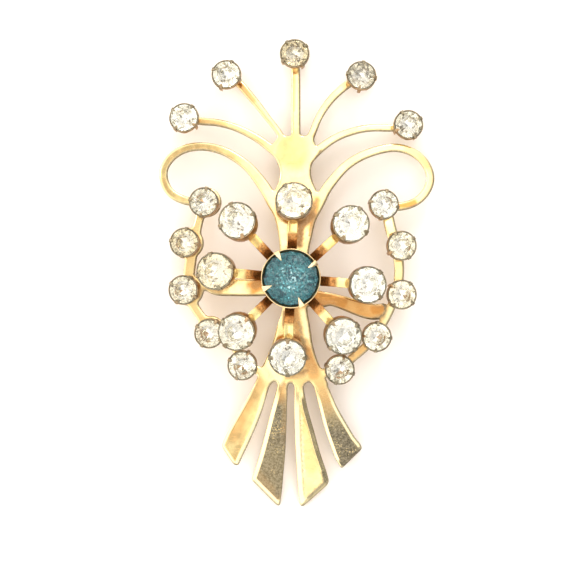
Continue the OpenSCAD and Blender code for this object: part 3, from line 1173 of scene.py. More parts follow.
    # Black strokes: painted shadow lines along edges, under stones and at a bar's corner,
    # and a little darker tarnishing on the second bar.
    black_shade_and_tarnish: tuple[Stroke, ...] = (
        Stroke(4.3, -25.3, 4.5, -26.4, 0.45, 0.9), Stroke(4.5, -26.6, 2.3, -28.6, 0.32, 0.75),
        Stroke(6.9, -24.2, 8.9, -22.3, 0.5, 1.0), Stroke(11.7, -3.0, 12.3, -3.7, 0.22, 0.9),
        Stroke(12.3, -3.7, 12.2, -4.4, 0.22, 0.9), Stroke(12.2, -4.4, 11.6, -5.1, 0.22, 0.9),
        Stroke(11.6, -5.1, 10.4, -5.4, 0.25, 0.9), Stroke(-1.0, -20.5, -1.7, -28.0, 0.75, 0.92),
        Stroke(4.1, -14.8, 4.9, -16.6, 0.9, 0.25), Stroke(3.6, -3.2, 5.4, -3.4, 0.9, 0.3),
        Stroke(0.6, -3.6, 0.95, -8.2, 0.6, 0.3), Stroke(1.1, -5.6, 1.5, -8.0, 0.24, 0.6),
        Stroke(1.5, -8.0, 2.15, -10.4, 0.3, 0.7), Stroke(2.7, 14.8, 3.9, 16.6, 0.28, 0.75),
        Stroke(0.9, -12.3, 2.2, -12.0, 0.3, 0.6),
    )

    def tail(self, v: np.ndarray) -> np.ndarray:
        """Rises from 0 at the bars' roots to 1 where they are full."""
        return smoothstep(-v, -self.tail_top, -self.tail_full)

    def bar_of(self, u: np.ndarray, v: np.ndarray) -> np.ndarray:
        """Number of the tail bar, from the left, that each point belongs to.

        Args:
            u: plan positions, across.
            v: plan positions, along.

        Returns:
            The number of each point's bar.
        """
        number = np.zeros(len(u), int)
        for u0, v0, u1, v1 in self.dividers:
            line = u0 + (v - v0) * (u1 - u0) / (v1 - v0)
            number += u > line
        return number

    def bevelled(self, outline: Outline, points: np.ndarray) -> tuple[np.ndarray, np.ndarray]:
        """Fall of the bars' faces under their bevels.

        Args:
            outline: the sheet's outline.
            points: points of the plan.

        Returns:
            The fall at each point, and how far the point lies on a bevel.
        """
        fall = np.zeros(len(points))
        on = np.zeros(len(points))
        edge = outline.dense
        edge_bar = self.bar_of(*edge.T)
        sideways, down = outline.facing.T
        low_edge = edge[:, 1] < self.tail_top
        end = (down < self.end_slope) & (edge[:, 1] < self.end_from)
        sides = (low_edge & ~end & (sideways < 0), end, low_edge & ~end & (sideways > 0))
        bar = self.bar_of(*points.T)
        for number, bevels in enumerate(self.bevels):
            mine = np.nonzero((bar == number) & (points[:, 1] < self.tail_top))[0]
            for side, bevel in zip(sides, bevels):
                tree = Outline.planted(edge[side & (edge_bar == number)])
                gap = outline.distance(points[mine], tree)
                share = np.clip(1.0 - gap / bevel.width, 0.0, 1.0)
                fall[mine] = np.maximum(fall[mine], bevel.fall * share)
                on[mine] = np.maximum(on[mine], smoothstep(share, 0.0, 0.08))
        return fall, on

    def drop(self, outline: Outline, points: np.ndarray, depth: np.ndarray) -> np.ndarray:
        """How far the face falls below the dome.

        Args:
            outline: the sheet's outline.
            points: points of the plan.
            depth: their distances from the outline.

        Returns:
            The fall.
        """
        inner = np.clip(1.0 - depth / self.roll, 0.0, 1.0)
        rolled = self.roll_drop * (1.0 - np.sqrt(np.clip(1.0 - inner * inner, 0.0, 1.0)))
        edge = np.clip(1.0 - depth / self.lip, 0.0, 1.0)
        bevelled = self.bevelled(outline, points)[0] + self.lip_drop * edge * edge
        share = self.tail(points[:, 1])
        return rolled * (1.0 - share) + bevelled * share

    def sway(self, u: np.ndarray, v: np.ndarray) -> np.ndarray:
        """The slow unevenness of a pressed sheet, and the twist of the tail bars.

        Args:
            u: plan positions, across.
            v: plan positions, along.

        Returns:
            The rise at each point.
        """
        wave = 0.03 * np.sin(0.55 * u + 0.35 * v + 0.8) + 0.025 * np.sin(0.8 * v - 0.3 * u)
        wave = wave * smoothstep(np.hypot(u, v), 3.5, 8.0) - 0.02
        number = self.bar_of(u, v)
        axes = np.array(self.bar_axes)[number]
        middle = axes[:, 0] + (v - axes[:, 1]) * (axes[:, 2] - axes[:, 0]) / (axes[:, 3] - axes[:, 1])
        twist = np.tan(np.radians(np.array(self.bar_tilts)[number])) * (u - middle)
        return wave + twist * self.tail(v)

    def build(self, node: Piece, finish: MetalFinish) -> Piece:
        """Models the sheet from the outline of its CAD node.

        Args:
            node: the CAD node of the sheet.
            finish: the sheet's finish.

        Returns:
            The finished piece.
        """
        outline = Outline.of(node, self.step, self.rounds)
        rows = (*self.outer_rows, self.roll, *self.inner_rows)
        face, over = outline.fill(rows, self.pitch, self.margin)
        back, under = outline.fill((), self.back_pitch, self.back_margin)
        rim = len(outline.starts)
        u, v = face.T
        depth = outline.distance(face)
        depth[:rim] = 0.0
        boss_u, boss_v, boss_r, boss_rise = self.boss
        boss = boss_rise * np.clip(1.0 - ((u - boss_u) ** 2 + (v - boss_v) ** 2) / boss_r**2, 0.0, 1.0)
        top = DOME.face(u, v) - self.drop(outline, face, depth) + self.sway(u, v) + boss
        low = DOME.back(*back.T) + self.sway(*back.T)
        points = np.vstack([np.column_stack([face, top]), np.column_stack([back, low])])
        shift = len(face)
        faces = list(over) + [tuple(shift + index for index in reversed(tri)) for tri in under]
        first = 0
        for loop in outline.loops:
            count = len(loop)
            for index in range(count):
                here, there = first + index, first + (index + 1) % count
                faces.append((here, shift + here, shift + there, there))
            first += count
        piece = Bench.mesh("spray", points, faces)
        Bench.outward(piece)
        Bench.smooth(piece, 50.0)
        self.stain_and_shading(piece, outline)
        piece.data.materials.append(finish.material())
        return Bench.deliver(piece, "spray_sheet", Slot.SHEET, ["spray_frame"])

    def stain_and_shading(self, piece: Piece, outline: Outline) -> None:
        """Paints the plating's staining, wear and tarnishing, with painted shade, shadow and highlights.

        Args:
            piece: the sheet.
            outline: its outline.
        """
        plan = Bench.points(piece)[:, :2]
        u, v = plan.T
        depth = outline.distance(plan)
        share = self.tail(v)
        warm, shade, rubbing_and_highlight, black_shade_and_tarnish = (
            np.max([stroke.cover(plan) for stroke in strokes], axis=0)
            for strokes in (self.warm, self.shade, self.rubbing_and_highlight, self.black_shade_and_tarnish)
        )
        on_bevel = self.bevelled(outline, plan)[1]
        number = self.bar_of(u, v)
        fade = smoothstep(-v, *self.dull_rise) - 0.1 * smoothstep(-v, *self.dull_wane)
        fade = np.where(number == self.slow_bar, smoothstep(-v, *self.slow_rise), fade)
        tarnish_and_shade_mask = np.array(self.dull_bars)[number] * (1.0 - on_bevel) * fade * (v < self.tail_top)
        tarnish_and_shade_mask *= 1.0 - 0.35 * warm
        # Painted shade: a dark line along the edges, wider and darker on those facing away from the light.
        sideways, down = outline.outward(plan).T
        away = smoothstep(sideways - down, -0.2, 0.9) * (1.0 - share)
        away += smoothstep(np.maximum(sideways, -down), 0.3, 0.9) * share
        broad = away * (1.0 - 0.3 * share) * (1.0 - 0.7 * share * smoothstep(v, -18.5, -15.0))
        low, high = (line + growth * broad for line, growth in zip(self.edge_line, self.edge_growth))
        dark_edge = (0.2 + 0.65 * away) * (1.0 - smoothstep(depth, low, high))
        # Paler along the edges outside the tail: wear on the plating, and a painted highlight over the
        # rolled edge.
        pale_edge = 0.75 * (1.0 - smoothstep(depth, 0.08, 0.3)) * (1.0 - share)
        # The shade strokes also paint the colour warmer, towards brown.
        Bench.paint(piece, "warm", np.maximum(warm, shade * (1.0 - share)))
        Bench.paint(piece, "wear_and_highlight", np.max([on_bevel * share, pale_edge, rubbing_and_highlight], axis=0))
        Bench.paint(piece, "tarnish_and_shade_mask", np.max([tarnish_and_shade_mask, 0.6 * shade * (1.0 - share), dark_edge, black_shade_and_tarnish], axis=0))


@dataclass
class ClawCup:
    """A claw cup with a conical seat, open at the top.

    The waist gives the widths of the foot and of the lower belt, as shares of the rim. The rim's darkness
    is its own field, for tarnishing and painted shade together, and lined is 1 for an inside painted pale
    and 0 for one painted dark as shade.
    """

    stone: float
    gap: float = 0.03
    wall: float = 0.16
    lip: float = 0.12
    claw_width: float = 0.5
    claw_turns: tuple[float, ...] = (0.0, 90.0, 180.0, 270.0)
    tip: Claw = Claw.TAB
    waist: tuple[float, float] = (0.72, 0.80)
    tarnish_and_shade: float = 0.55
    lined: float = 1.0
    sides: int = 48
    belts: tuple[float, float] = (0.28, 0.75)
    ledge: float = 0.02
    ledge_drop: float = 0.08
    seat_share: float = 0.22
    lip_round: float = 0.42

    @property
    def girdle(self) -> float:
        """Height of the stone's girdle in the cup."""
        return girdle_height(self.stone)

    @property
    def rim(self) -> float:
        """Radius of the rim."""
        return self.stone / 2 + self.gap + self.wall

    def bowl(self) -> Piece:
        """Turns the cup from a cylinder: waisted, hollowed and eased at the lip.

        Returns:
            The bowl.
        """
        height = self.girdle + self.lip
        bowl = Bench.cylinder(self.sides, self.rim, height, height / 2)
        with Bench.edit(bowl):
            for level in self.belts:
                bpy.ops.mesh.select_all(action="SELECT")
                bpy.ops.mesh.bisect(plane_co=(0, 0, level * self.girdle), plane_no=(0, 0, 1))
            for level, width in zip((0.0, self.belts[0] * self.girdle), self.waist):
                mesh = bmesh.from_edit_mesh(bowl.data)
                for vert in mesh.verts:
                    if abs(vert.co.z - level) < SAME_LEVEL:
                        vert.co.x *= width
                        vert.co.y *= width
                bmesh.update_edit_mesh(bowl.data)
            Bench.choose(
                bowl, Part.FACE,
                lambda face: face.normal.z > 0.9 and face.calc_center_median().z > height - 0.01,
            )
            bpy.ops.mesh.inset(thickness=self.wall)
            Bench.extrude((0, 0, self.ledge - self.lip - self.ledge_drop))
            Bench.extrude((0, 0, GIRDLE_BASE - self.girdle))
            bpy.ops.transform.resize(value=(self.seat_share, self.seat_share, 1.0))
            Bench.choose(
                bowl, Part.EDGE,
                lambda edge: all(abs(vert.co.z - height) < SAME_LEVEL for vert in edge.verts),
            )
            bpy.ops.mesh.bevel(offset=self.lip_round * self.wall, segments=3, affect="EDGES")
        return bowl

    def claw(self) -> Piece:
        """Bends one claw up the wall and over the stone, from a small block.

        Returns:
            The claw, on the side of the first axis.
        """
        belt = self.girdle + 0.14
        out = self.rim + 0.1
        edge = self.stone / 2
        pointed = self.tip is Claw.POINT
        reach = (0.13 if pointed else 0.085) * self.stone
        slope = 0.15 / 0.24
        half = self.claw_width / 2
        end = 0.12 if pointed else 0.5
        over = belt + 0.45 * reach * slope
        tip = belt + reach * slope
        # Each step has the radius and height of the claw's inner and outer side, and its share of the width.
        path = (
            (0.87 * self.rim, 0.36 * self.girdle, out - 0.07, 0.36 * self.girdle, 0.8),
            (self.rim - 0.16, 0.72 * self.girdle, out, 0.72 * self.girdle, 1.0),
            (self.rim - 0.16, belt - 0.02, out, belt - 0.02, 1.0),
            (edge - 0.02, belt + 0.06, out - 0.05, belt + 0.17, 0.98),
            (edge - 0.45 * reach, over + 0.07, edge - 0.25 * reach, over + 0.27, 0.5 * (1 + end)),
            (edge - reach, tip + 0.06, edge - reach + 0.03, tip + 0.19, end),
        )
        Bench.clear()
        bpy.ops.mesh.primitive_plane_add(size=1.0, location=(0, 0, 0))
        claw = bpy.context.object
        lift = (0, 0, 0.01)
        corners = []
        for inner_r, inner_z, outer_r, outer_z, width in path:
            side = half * width
            corners.append([
                (inner_r, -side, inner_z), (outer_r, -side, outer_z),
                (outer_r, side, outer_z), (inner_r, side, inner_z),
            ])
        with Bench.edit(claw):
            bpy.ops.mesh.select_all(action="SELECT")
            for index, ring in enumerate(corners):
                if index:
                    Bench.extrude(lift)
                mesh = bmesh.from_edit_mesh(claw.data)
                face = next(item for item in mesh.faces if item.select)
                order = list(face.verts)
                if index:
                    order = [
                        min(face.verts, key=lambda vert: (vert.co - old).length)
                        for old in (Vector(spot) + Vector(lift) for spot in corners[index - 1])
                    ]
                for vert, spot in zip(order, ring):
                    vert.co = spot
                bmesh.update_edit_mesh(claw.data)
        Bench.outward(claw)
        return Bench.bevel(claw, 0.045, 2, 50.0)

    def build(self) -> Piece:
        """Makes the cup with its claws, and paints its pale claws and lining, and a rim darkened by
        tarnishing and painted shade.

        Returns:
            The cup, standing on its own origin.
        """
        bowl = self.bowl()
        master = self.claw()
        turns = [Matrix.Rotation(math.radians(turn), 4, "Z") for turn in self.claw_turns]
        parts = [bowl] + [Bench.copy(master, "claw", turn) for turn in turns]
        bpy.data.objects.remove(master)
        cup = Bench.join(parts)
        Bench.smooth(cup, 40.0)
        places = Bench.points(cup)
        radius = np.hypot(places[:, 0], places[:, 1])
        height = places[:, 2] / self.girdle
        inside = (radius < self.rim - 0.6 * self.wall) & (height < 1.08)
        rim = np.exp(-(((height - 1.03) / 0.12) ** 2)) * (radius > self.rim - self.wall)
        claws = height > 1.12
        bright = 0.3 if self.tip is Claw.POINT else 0.1
        # Warmer low on the outside, pale claws, the rim darkened by tarnishing and painted shade, and the
        # inside pale when lined and painted dark as shade when not.
        Bench.paint(cup, "warm", np.clip(1.85 - 1.5 * height, 0.0, 1.0) * (1.0 - inside))
        Bench.paint(cup, "wear_and_highlight", np.maximum(claws * bright, self.lined * inside))
        tarnish_and_shade_mask = self.tarnish_and_shade * (rim + 0.6 * claws) + (1.0 - self.lined) * inside
        Bench.paint(cup, "tarnish_and_shade_mask", np.clip(tarnish_and_shade_mask, 0.0, 1.0))
        return cup


@dataclass
class CutStone:
    """A round stone with a table, stars, kites and halves over a foiled back that ends in a point."""

    size: float
    table: float = 0.52
    crown: float = 0.15
    pavilion: float = 0.32
    back_slope: float = 41.0
    back_break: float = 0.56
    belt: float = 0.14
    star: float = 0.58
    point_rise: float = 0.05

    def build(self, glass: bpy.types.Material, foil: bpy.types.Material) -> Piece:
        """Cuts the stone as the hull of its facets' corners.

        Args:
            glass: material of the crown.
            foil: material of the foiled back and girdle.

        Returns:
            The stone, in its cup's frame.
        """
        base = girdle_height(self.size)
        belt = base + self.belt
        radius = self.size / 2
        lid = self.table * radius
        half = math.radians(22.5)
        star = lid + self.star * (radius - lid)
        star_z = belt + self.crown * self.size * (1 - (star * math.cos(half) - lid) / (radius - lid))
        heel = base - self.pavilion * self.size + self.point_rise
        steep = math.tan(math.radians(self.back_slope))
        low = self.back_break * radius
        low_z = base - (radius - low) * steep
        points: list[tuple[float, float, float]] = [(0.0, 0.0, heel)]
        for index in range(8):
            turn = 2 * half * index
            for reach, angle, z in (
                (lid, turn, belt + self.crown * self.size), (star, turn + half, star_z),
                (radius, turn, belt), (radius, turn + half, belt),
                (radius, turn, base), (radius, turn + half, base),
                (low, turn + half, low_z),
            ):
                points.append((reach * math.cos(angle), reach * math.sin(angle), z))
        stone = Bench.mesh("stone", points, [])
        with Bench.edit(stone):
            bpy.ops.mesh.select_mode(type="VERT")
            bpy.ops.mesh.select_all(action="SELECT")
            bpy.ops.mesh.convex_hull()
            bpy.ops.mesh.select_all(action="SELECT")
            bpy.ops.mesh.dissolve_limited(angle_limit=math.radians(1.0))
            bpy.ops.mesh.select_all(action="SELECT")
            bpy.ops.mesh.normals_make_consistent(inside=False)
        for material in (glass, foil):
            stone.data.materials.append(material)
        plan = stone.data.uv_layers.new(name="plan")
        for loop in stone.data.loops:
            spot = stone.data.vertices[loop.vertex_index].co
            plan.data[loop.index].uv = (0.5 + spot.x / self.size, 0.5 + spot.y / self.size)
        for face in stone.data.polygons:
            face.use_smooth = False
            face.material_index = 1 if face.center.z < belt - 0.01 else 0
        return stone


# Each arm: its direction in degrees, the radius at which its stone shows, and its claws' turn.
ARMS = (
    (87.7, 10.0, 30.0), (42.2, 10.45, 60.0), (-4.8, 9.95, 45.0), (-47.7, 10.05, 40.0),
    (-92.3, 10.2, 0.0), (-135.3, 9.85, 50.0), (174.6, 9.8, 15.0), (133.0, 10.15, 20.0),
)
# Directions of the ring's four claws in degrees.
RING_CLAWS = (31.7, 118.5, 201.0, 291.6)
# Each small stone: its plan position, and its claws' turn in degrees.
SMALL_SPOTS = {
    "tip": (
        (-13.9, 20.9, 20.0), (-8.4, 26.55, 50.0), (0.5, 29.3, 35.0), (9.2, 26.4, 10.0), (15.3, 20.0, 65.0),
    ),
    "left": (
        (-11.3, 9.9, 30.0), (-13.8, 4.65, 10.0), (-13.95, -1.5, 55.0), (-10.6, -7.15, 25.0),
        (-6.3, -11.3, 5.0),
    ),
    "right": (
        (12.1, 9.6, 40.0), (14.4, 4.25, 15.0), (14.4, -2.1, 60.0), (11.15, -7.6, 30.0),
        (6.35, -11.85, 45.0),
    ),
}


@dataclass
class Flower:
    """The hub with eight bent arms, and the ring that holds the centre stone.

    The pad has its radius and the rounding of its edge. The shank has its radius, length and middle
    height, and the head of the rivet its radius, height and flatness.
    """

    width: float = 1.25
    thick: float = 0.5
    rise: float = 2.3
    tilt: float = 10.0
    hub: float = 3.0
    bend: float = 5.5
    stone: float = 4.5
    large: float = 7.0
    rounding: float = 0.1
    pad: tuple[float, float] = (1.5, 0.08)
    shank: tuple[float, float, float] = (0.8, 1.9, 4.3)
    head: tuple[float, float, float] = (1.5, 3.67, 0.3)
    rivet_stain: float = 0.2
    warm_root: tuple[float, float] = (5.0, 6.4)
    dark_root: tuple[float, float] = (5.75, 6.15)
    bright_from: tuple[float, float] = (5.4, 6.4)
    upper_from: tuple[float, float] = (1.0, 4.0)

    @property
    def floor(self) -> float:
        """Height of the hub's underside."""
        return DOME.crown + DOME.sheet + DOME.gap

    @property
    def seat(self) -> float:
        """Height of the hub's face."""
        return self.floor + self.thick

    def level(self, radius: float) -> float:
        """Height of an arm's middle beyond the bend."""
        fall = (radius - self.bend) * math.tan(math.radians(self.tilt))
        return self.floor + self.thick / 2 + self.rise - fall

    def end(self, reach: float) -> float:
        """Radius of the pad under a stone that shows at the given radius."""
        return reach - girdle_height(self.stone) * math.sin(math.radians(self.tilt))

    def path(self, end: float) -> list[tuple[float, float]]:
        """Smooth side view of an arm's middle, from the hub to its pad.

        Args:
            end: radius of the pad.

        Returns:
            Radius and height of each point.
        """
        mid = self.floor + self.thick / 2
        rows = [
            (1.5, mid), (3.3, mid + 0.05), (4.3, mid + 0.45 * self.rise),
            (5.2, mid + 0.93 * self.rise), (6.2, self.level(6.2)), (end, self.level(end)),
        ]
        points = []
        last = len(rows) - 1
        for index in range(last):
            a, b, c, d = (Vector(rows[min(max(index + shift, 0), last)]) for shift in (-1, 0, 1, 2))
            for step in range(6):
                t = step / 6
                bend = (2 * a - 5 * b + 4 * c - d) * t * t
                twist = (3 * b - a - 3 * c + d) * t * t * t
                spot = (2 * b + (c - a) * t + bend + twist) / 2
                points.append((spot.x, spot.y))
        points.append(rows[-1])
        return points

    def arm(self, turn: float, reach: float) -> Piece:
        """Bends one arm from a strip, with its round pad.

        Args:
            turn: the arm's direction in degrees.
            reach: radius at which its stone shows.

        Returns:
            The arm.
        """
        end = self.end(reach)
        path = self.path(end)
        count = len(path)
        Bench.clear()
        bpy.ops.mesh.primitive_grid_add(
            x_subdivisions=count - 1, y_subdivisions=2, size=1.0, location=(0, 0, 0)
        )
        strip = bpy.context.object
        for vert in strip.data.vertices:
            index = round((vert.co.x + 0.5) * (count - 1))
            radius, height = path[index]
            vert.co = (radius, vert.co.y * self.width, height)
        strip.data.update()
        Bench.modify(strip, "SOLIDIFY", thickness=self.thick, offset=0.0, use_even_offset=True)
        Bench.bevel(strip, self.rounding, 3)
        pad_radius, pad_rounding = self.pad
        pad = Bench.bevel(Bench.cylinder(40, pad_radius, self.thick), pad_rounding)
        pad.data.transform(
            Matrix.Translation((end, 0, self.level(end))) @ Matrix.Rotation(math.radians(self.tilt), 4, "Y")
        )
        arm = Bench.join([strip, pad])
        arm.data.transform(Matrix.Rotation(math.radians(turn), 4, "Z"))
        return arm

    def build_arms(self, finish: MetalFinish) -> Piece:
        """Makes the flower's hub and arms in one piece.

        Args:
            finish: the flower's finish.

        Returns:
            The finished piece.
        """
        hub = Bench.cylinder(64, self.hub, self.thick, self.floor + self.thick / 2)
        Bench.bevel(hub, self.rounding)
        flower = Bench.join([hub] + [self.arm(turn, reach) for turn, reach, _ in ARMS])
        Bench.smooth(flower, 45.0)
        places = Bench.points(flower)
        radius = np.hypot(places[:, 0], places[:, 1])
        # Painted reflection: near the hub the arms are painted dark and warm, where their slopes mirror the
        # ring's dark wall; further out the upper arms are warmer and the lower ones a little paler.
        outer = smoothstep(radius, *self.bright_from)
        upper = smoothstep(places[:, 1], *self.upper_from)
        root = 0.8 * (1.0 - smoothstep(radius, *self.warm_root))
        Bench.paint(flower, "warm", np.maximum(root, 0.45 * upper * outer))
        Bench.paint(flower, "wear_and_highlight", 0.1 * outer * (1.0 - upper))
        Bench.paint(flower, "tarnish_and_shade_mask", 1.0 - smoothstep(radius, *self.dark_root))
        flower.data.materials.append(finish.material())
        return Bench.deliver(flower, "flower_spider", Slot.FLOWER, ["flower_arms"])

    def build_ring(self, finish: MetalFinish) -> Piece:
        """Makes the centre ring with its pointed claws and the rivet.

        Args:
            finish: the ring's finish.

        Returns:
            The finished piece.
        """
        cup = ClawCup(
            self.large, gap=0.21, wall=0.17, claw_width=0.82, claw_turns=RING_CLAWS, tip=Claw.POINT,
            tarnish_and_shade=0.0, lined=0.0, sides=72,
        )
        ring = cup.build()
        ring.data.transform(Matrix.Translation((0, 0, self.seat + DOME.gap)))
        shank = Bench.cylinder(32, *self.shank)
        radius, height, flatness = self.head
        middle = (0, 0, height)
        Bench.clear()
        bpy.ops.mesh.primitive_uv_sphere_add(segments=32, ring_count=16, radius=radius, location=middle)
        head = bpy.context.object
        with Bench.edit(head):
            bpy.ops.mesh.select_all(action="SELECT")
            bpy.ops.mesh.bisect(plane_co=middle, plane_no=(0, 0, 1), clear_outer=True, use_fill=True)
            bpy.ops.mesh.select_all(action="SELECT")
            bpy.ops.transform.resize(value=(1, 1, flatness), center_override=middle)
        bpy.ops.object.transform_apply(location=True, rotation=True, scale=True)
        for part in (shank, head):
            for name in ("warm", "wear_and_highlight", "tarnish_and_shade_mask"):
                Bench.paint(part, name, self.rivet_stain)
        ring = Bench.join([ring, shank, head])
        Bench.smooth(ring, 40.0)
        ring.data.materials.append(finish.material())
        return Bench.deliver(ring, "centre_ring", Slot.FLOWER, ["centre_setting"])

    def place(self, turn: float, reach: float) -> Matrix:
        """Place of the cup at the end of an arm."""
        end = self.end(reach)
        return (
            Matrix.Rotation(math.radians(turn), 4, "Z")
            @ Matrix.Translation((end, 0, self.level(end)))
            @ Matrix.Rotation(math.radians(self.tilt), 4, "Y")
            @ Matrix.Translation((0, 0, self.thick / 2 + DOME.gap))
        )


@dataclass
class Jewels:
    """All the clear stones in their cups, and the centre stone.

    Tones are the stones' darkness, in turn, and smoky the darker ones by row and place. Amber is the
    warmth of each stone, by row. Flanks say how far each arm's cup shows its wall, and how strong the
    warm reflection painted on it is.
    """

    small: float = 3.5
    medium: float = 4.5
    large: float = 7.0
    tones: tuple[float, ...] = (0.0, 0.08, 0.0, 0.12, 0.05, 0.02, 0.1, 0.04)
    amber: tuple[tuple[str, tuple[float, ...]], ...] = (
        ("arm", (0.25, 0.05, 0.0, 0.0, 0.0, 0.12, 0.35, 0.1)), ("tip", (0.05, 0.1, 0.5, 0.15, 0.15)),
        ("left", (0.15, 0.4, 0.25, 0.2, 0.12)), ("right", (0.05, 0.25, 0.25, 0.12, 0.15)),
    )
    flanks: tuple[float, ...] = (0.4, 0.6, 0.15, 0.3, 0.12, 0.65, 0.5, 1.0)
    smoky: tuple[tuple[str, int, float], ...] = (("tip", 3, 0.22), ("tip", 4, 0.28), ("tip", 5, 0.12))
    small_flank: float = 0.6
    wall_push: float = 0.28
    spin: float = 17.0
    medium_lines: float = 0.2
    small_lines: float = 0.5
    flower: Flower = field(default_factory=Flower)

    def flank(self, cup: Piece, place: Matrix, strength: float) -> None:
        """Lets a cup's wall show on the side of the brooch's middle, with a painted warm reflection of the
        gilt.

        Args:
            cup: the placed cup.
            place: the matrix that placed it.
            strength: how far the wall stands out and how strong its painted reflection is, from 0 to 1.
        """
        places = Bench.points(cup)
        local = np.array([place.inverted() @ vert.co for vert in cup.data.vertices])
        arm = places[:, :2] - np.array(place.translation.xy)
        inward = -np.array(place.translation.xy.normalized())
        radius = np.linalg.norm(arm, axis=1)
        facing = (arm @ inward) / (radius + 1e-6)
        rim = local[:, 2].max() - 0.5
        outer = radius > 0.8 * np.percentile(radius, 95)
        side = smoothstep(facing, 0.1, 0.9) * (1.0 - smoothstep(local[:, 2], rim - 0.8, rim)) * outer
        places[:, :2] += self.wall_push * strength * side[:, None] * inward
        cup.data.vertices.foreach_set("co", places.ravel())
        cup.data.update()
        # Painted reflection: the side facing the middle is painted warm and less dark.
        glow = strength * smoothstep(facing, 0.35, 0.95)
        Bench.paint(cup, "warm", np.maximum(Bench.painted(cup, "warm"), glow))
        Bench.paint(cup, "tarnish_and_shade_mask", Bench.painted(cup, "tarnish_and_shade_mask") * (1.0 - 0.7 * glow))

    def set_row(
        self, size: float, name: str, rows: Sequence[tuple[Matrix, float]], cup: Piece, stone: Piece
    ) -> None:
        """Places a cup and a stone at each spot of a row.

        Args:
            size: the stones' diameter.
            name: the row's name.
            rows: the place and the claws' turn of each cup.
            cup: the cup to copy.
            stone: the stone to copy.
        """
        on_arm = size == self.medium
        smoky = {(row, place): tone for row, place, tone in self.smoky}
        amber = dict(self.amber)[name]
        for index, (place, turn) in enumerate(rows, 1):
            turned = place @ Matrix.Rotation(math.radians(turn), 4, "Z")
            holder = Bench.copy(cup, "cup", turned)
            self.flank(holder, turned, self.flanks[index - 1] if on_arm else self.small_flank)
            Bench.deliver(holder, f"{name}_cup_{index}", Slot.CUP, [f"{name}_setting_{index}"])
            spun = place @ Matrix.Rotation(math.radians(turn + self.spin * index), 4, "Z")
            gem = Bench.copy(stone, "gem", spun)
            tone = self.tones[(index * 3 + len(name) + round(size)) % len(self.tones)]
            Bench.paint(gem, "tone", smoky.get((name, index), tone))
            Bench.paint(gem, "warm", amber[index - 1])
            Bench.paint(gem, "lines", self.medium_lines if on_arm else self.small_lines)
            Bench.deliver(gem, f"{name}_gem_{index}", Slot.CLEAR, [f"{name}_stone_{index}"])

    def build(self) -> None:
        """Makes the cups and stones once and sets a copy of each in every place."""
        metal = CUP_GILT.material()
        glass = CLEAR_GLASS.material()
        foil = CLEAR_FOIL.material()
        for size, width, waist in ((self.medium, 0.62, (0.97, 1.0)), (self.small, 0.46, (0.78, 0.86))):
            cup = ClawCup(size, claw_width=width, waist=waist).build()
            cup.data.materials.append(metal)
            stone = CutStone(size).build(glass, foil)
            if size == self.medium:
                rows = [(self.flower.place(turn, reach), twist - turn) for turn, reach, twist in ARMS]
                self.set_row(size, "arm", rows, cup, stone)
            else:
                for name, spots in SMALL_SPOTS.items():
                    rows = [(DOME.stand(u, v, girdle_height(size)), twist) for u, v, twist in spots]
                    self.set_row(size, name, rows, cup, stone)
            for master in (cup, stone):
                bpy.data.objects.remove(master)
        cut = CutStone(self.large, table=0.76, crown=0.08)
        centre = cut.build(TEAL_GLASS.material(), TEAL_FOIL.material())
        # Painted shade on the centre stone's back: darker towards the girdle beside the ring, and darker in
        # the middle.
        radius = np.array([vert.co.xy.length for vert in centre.data.vertices])
        deep = 0.5 * smoothstep(radius, 0.45 * self.large, 0.5 * self.large)
        Bench.paint(centre, "tone", 0.55 * deep + 0.5 * (1.0 - smoothstep(radius, 0.3, 1.5)))
        centre.data.transform(Matrix.Translation((0, 0, self.flower.seat + DOME.gap)))
        Bench.deliver(centre, "centre_gem", Slot.TEAL, ["centre_stone"])


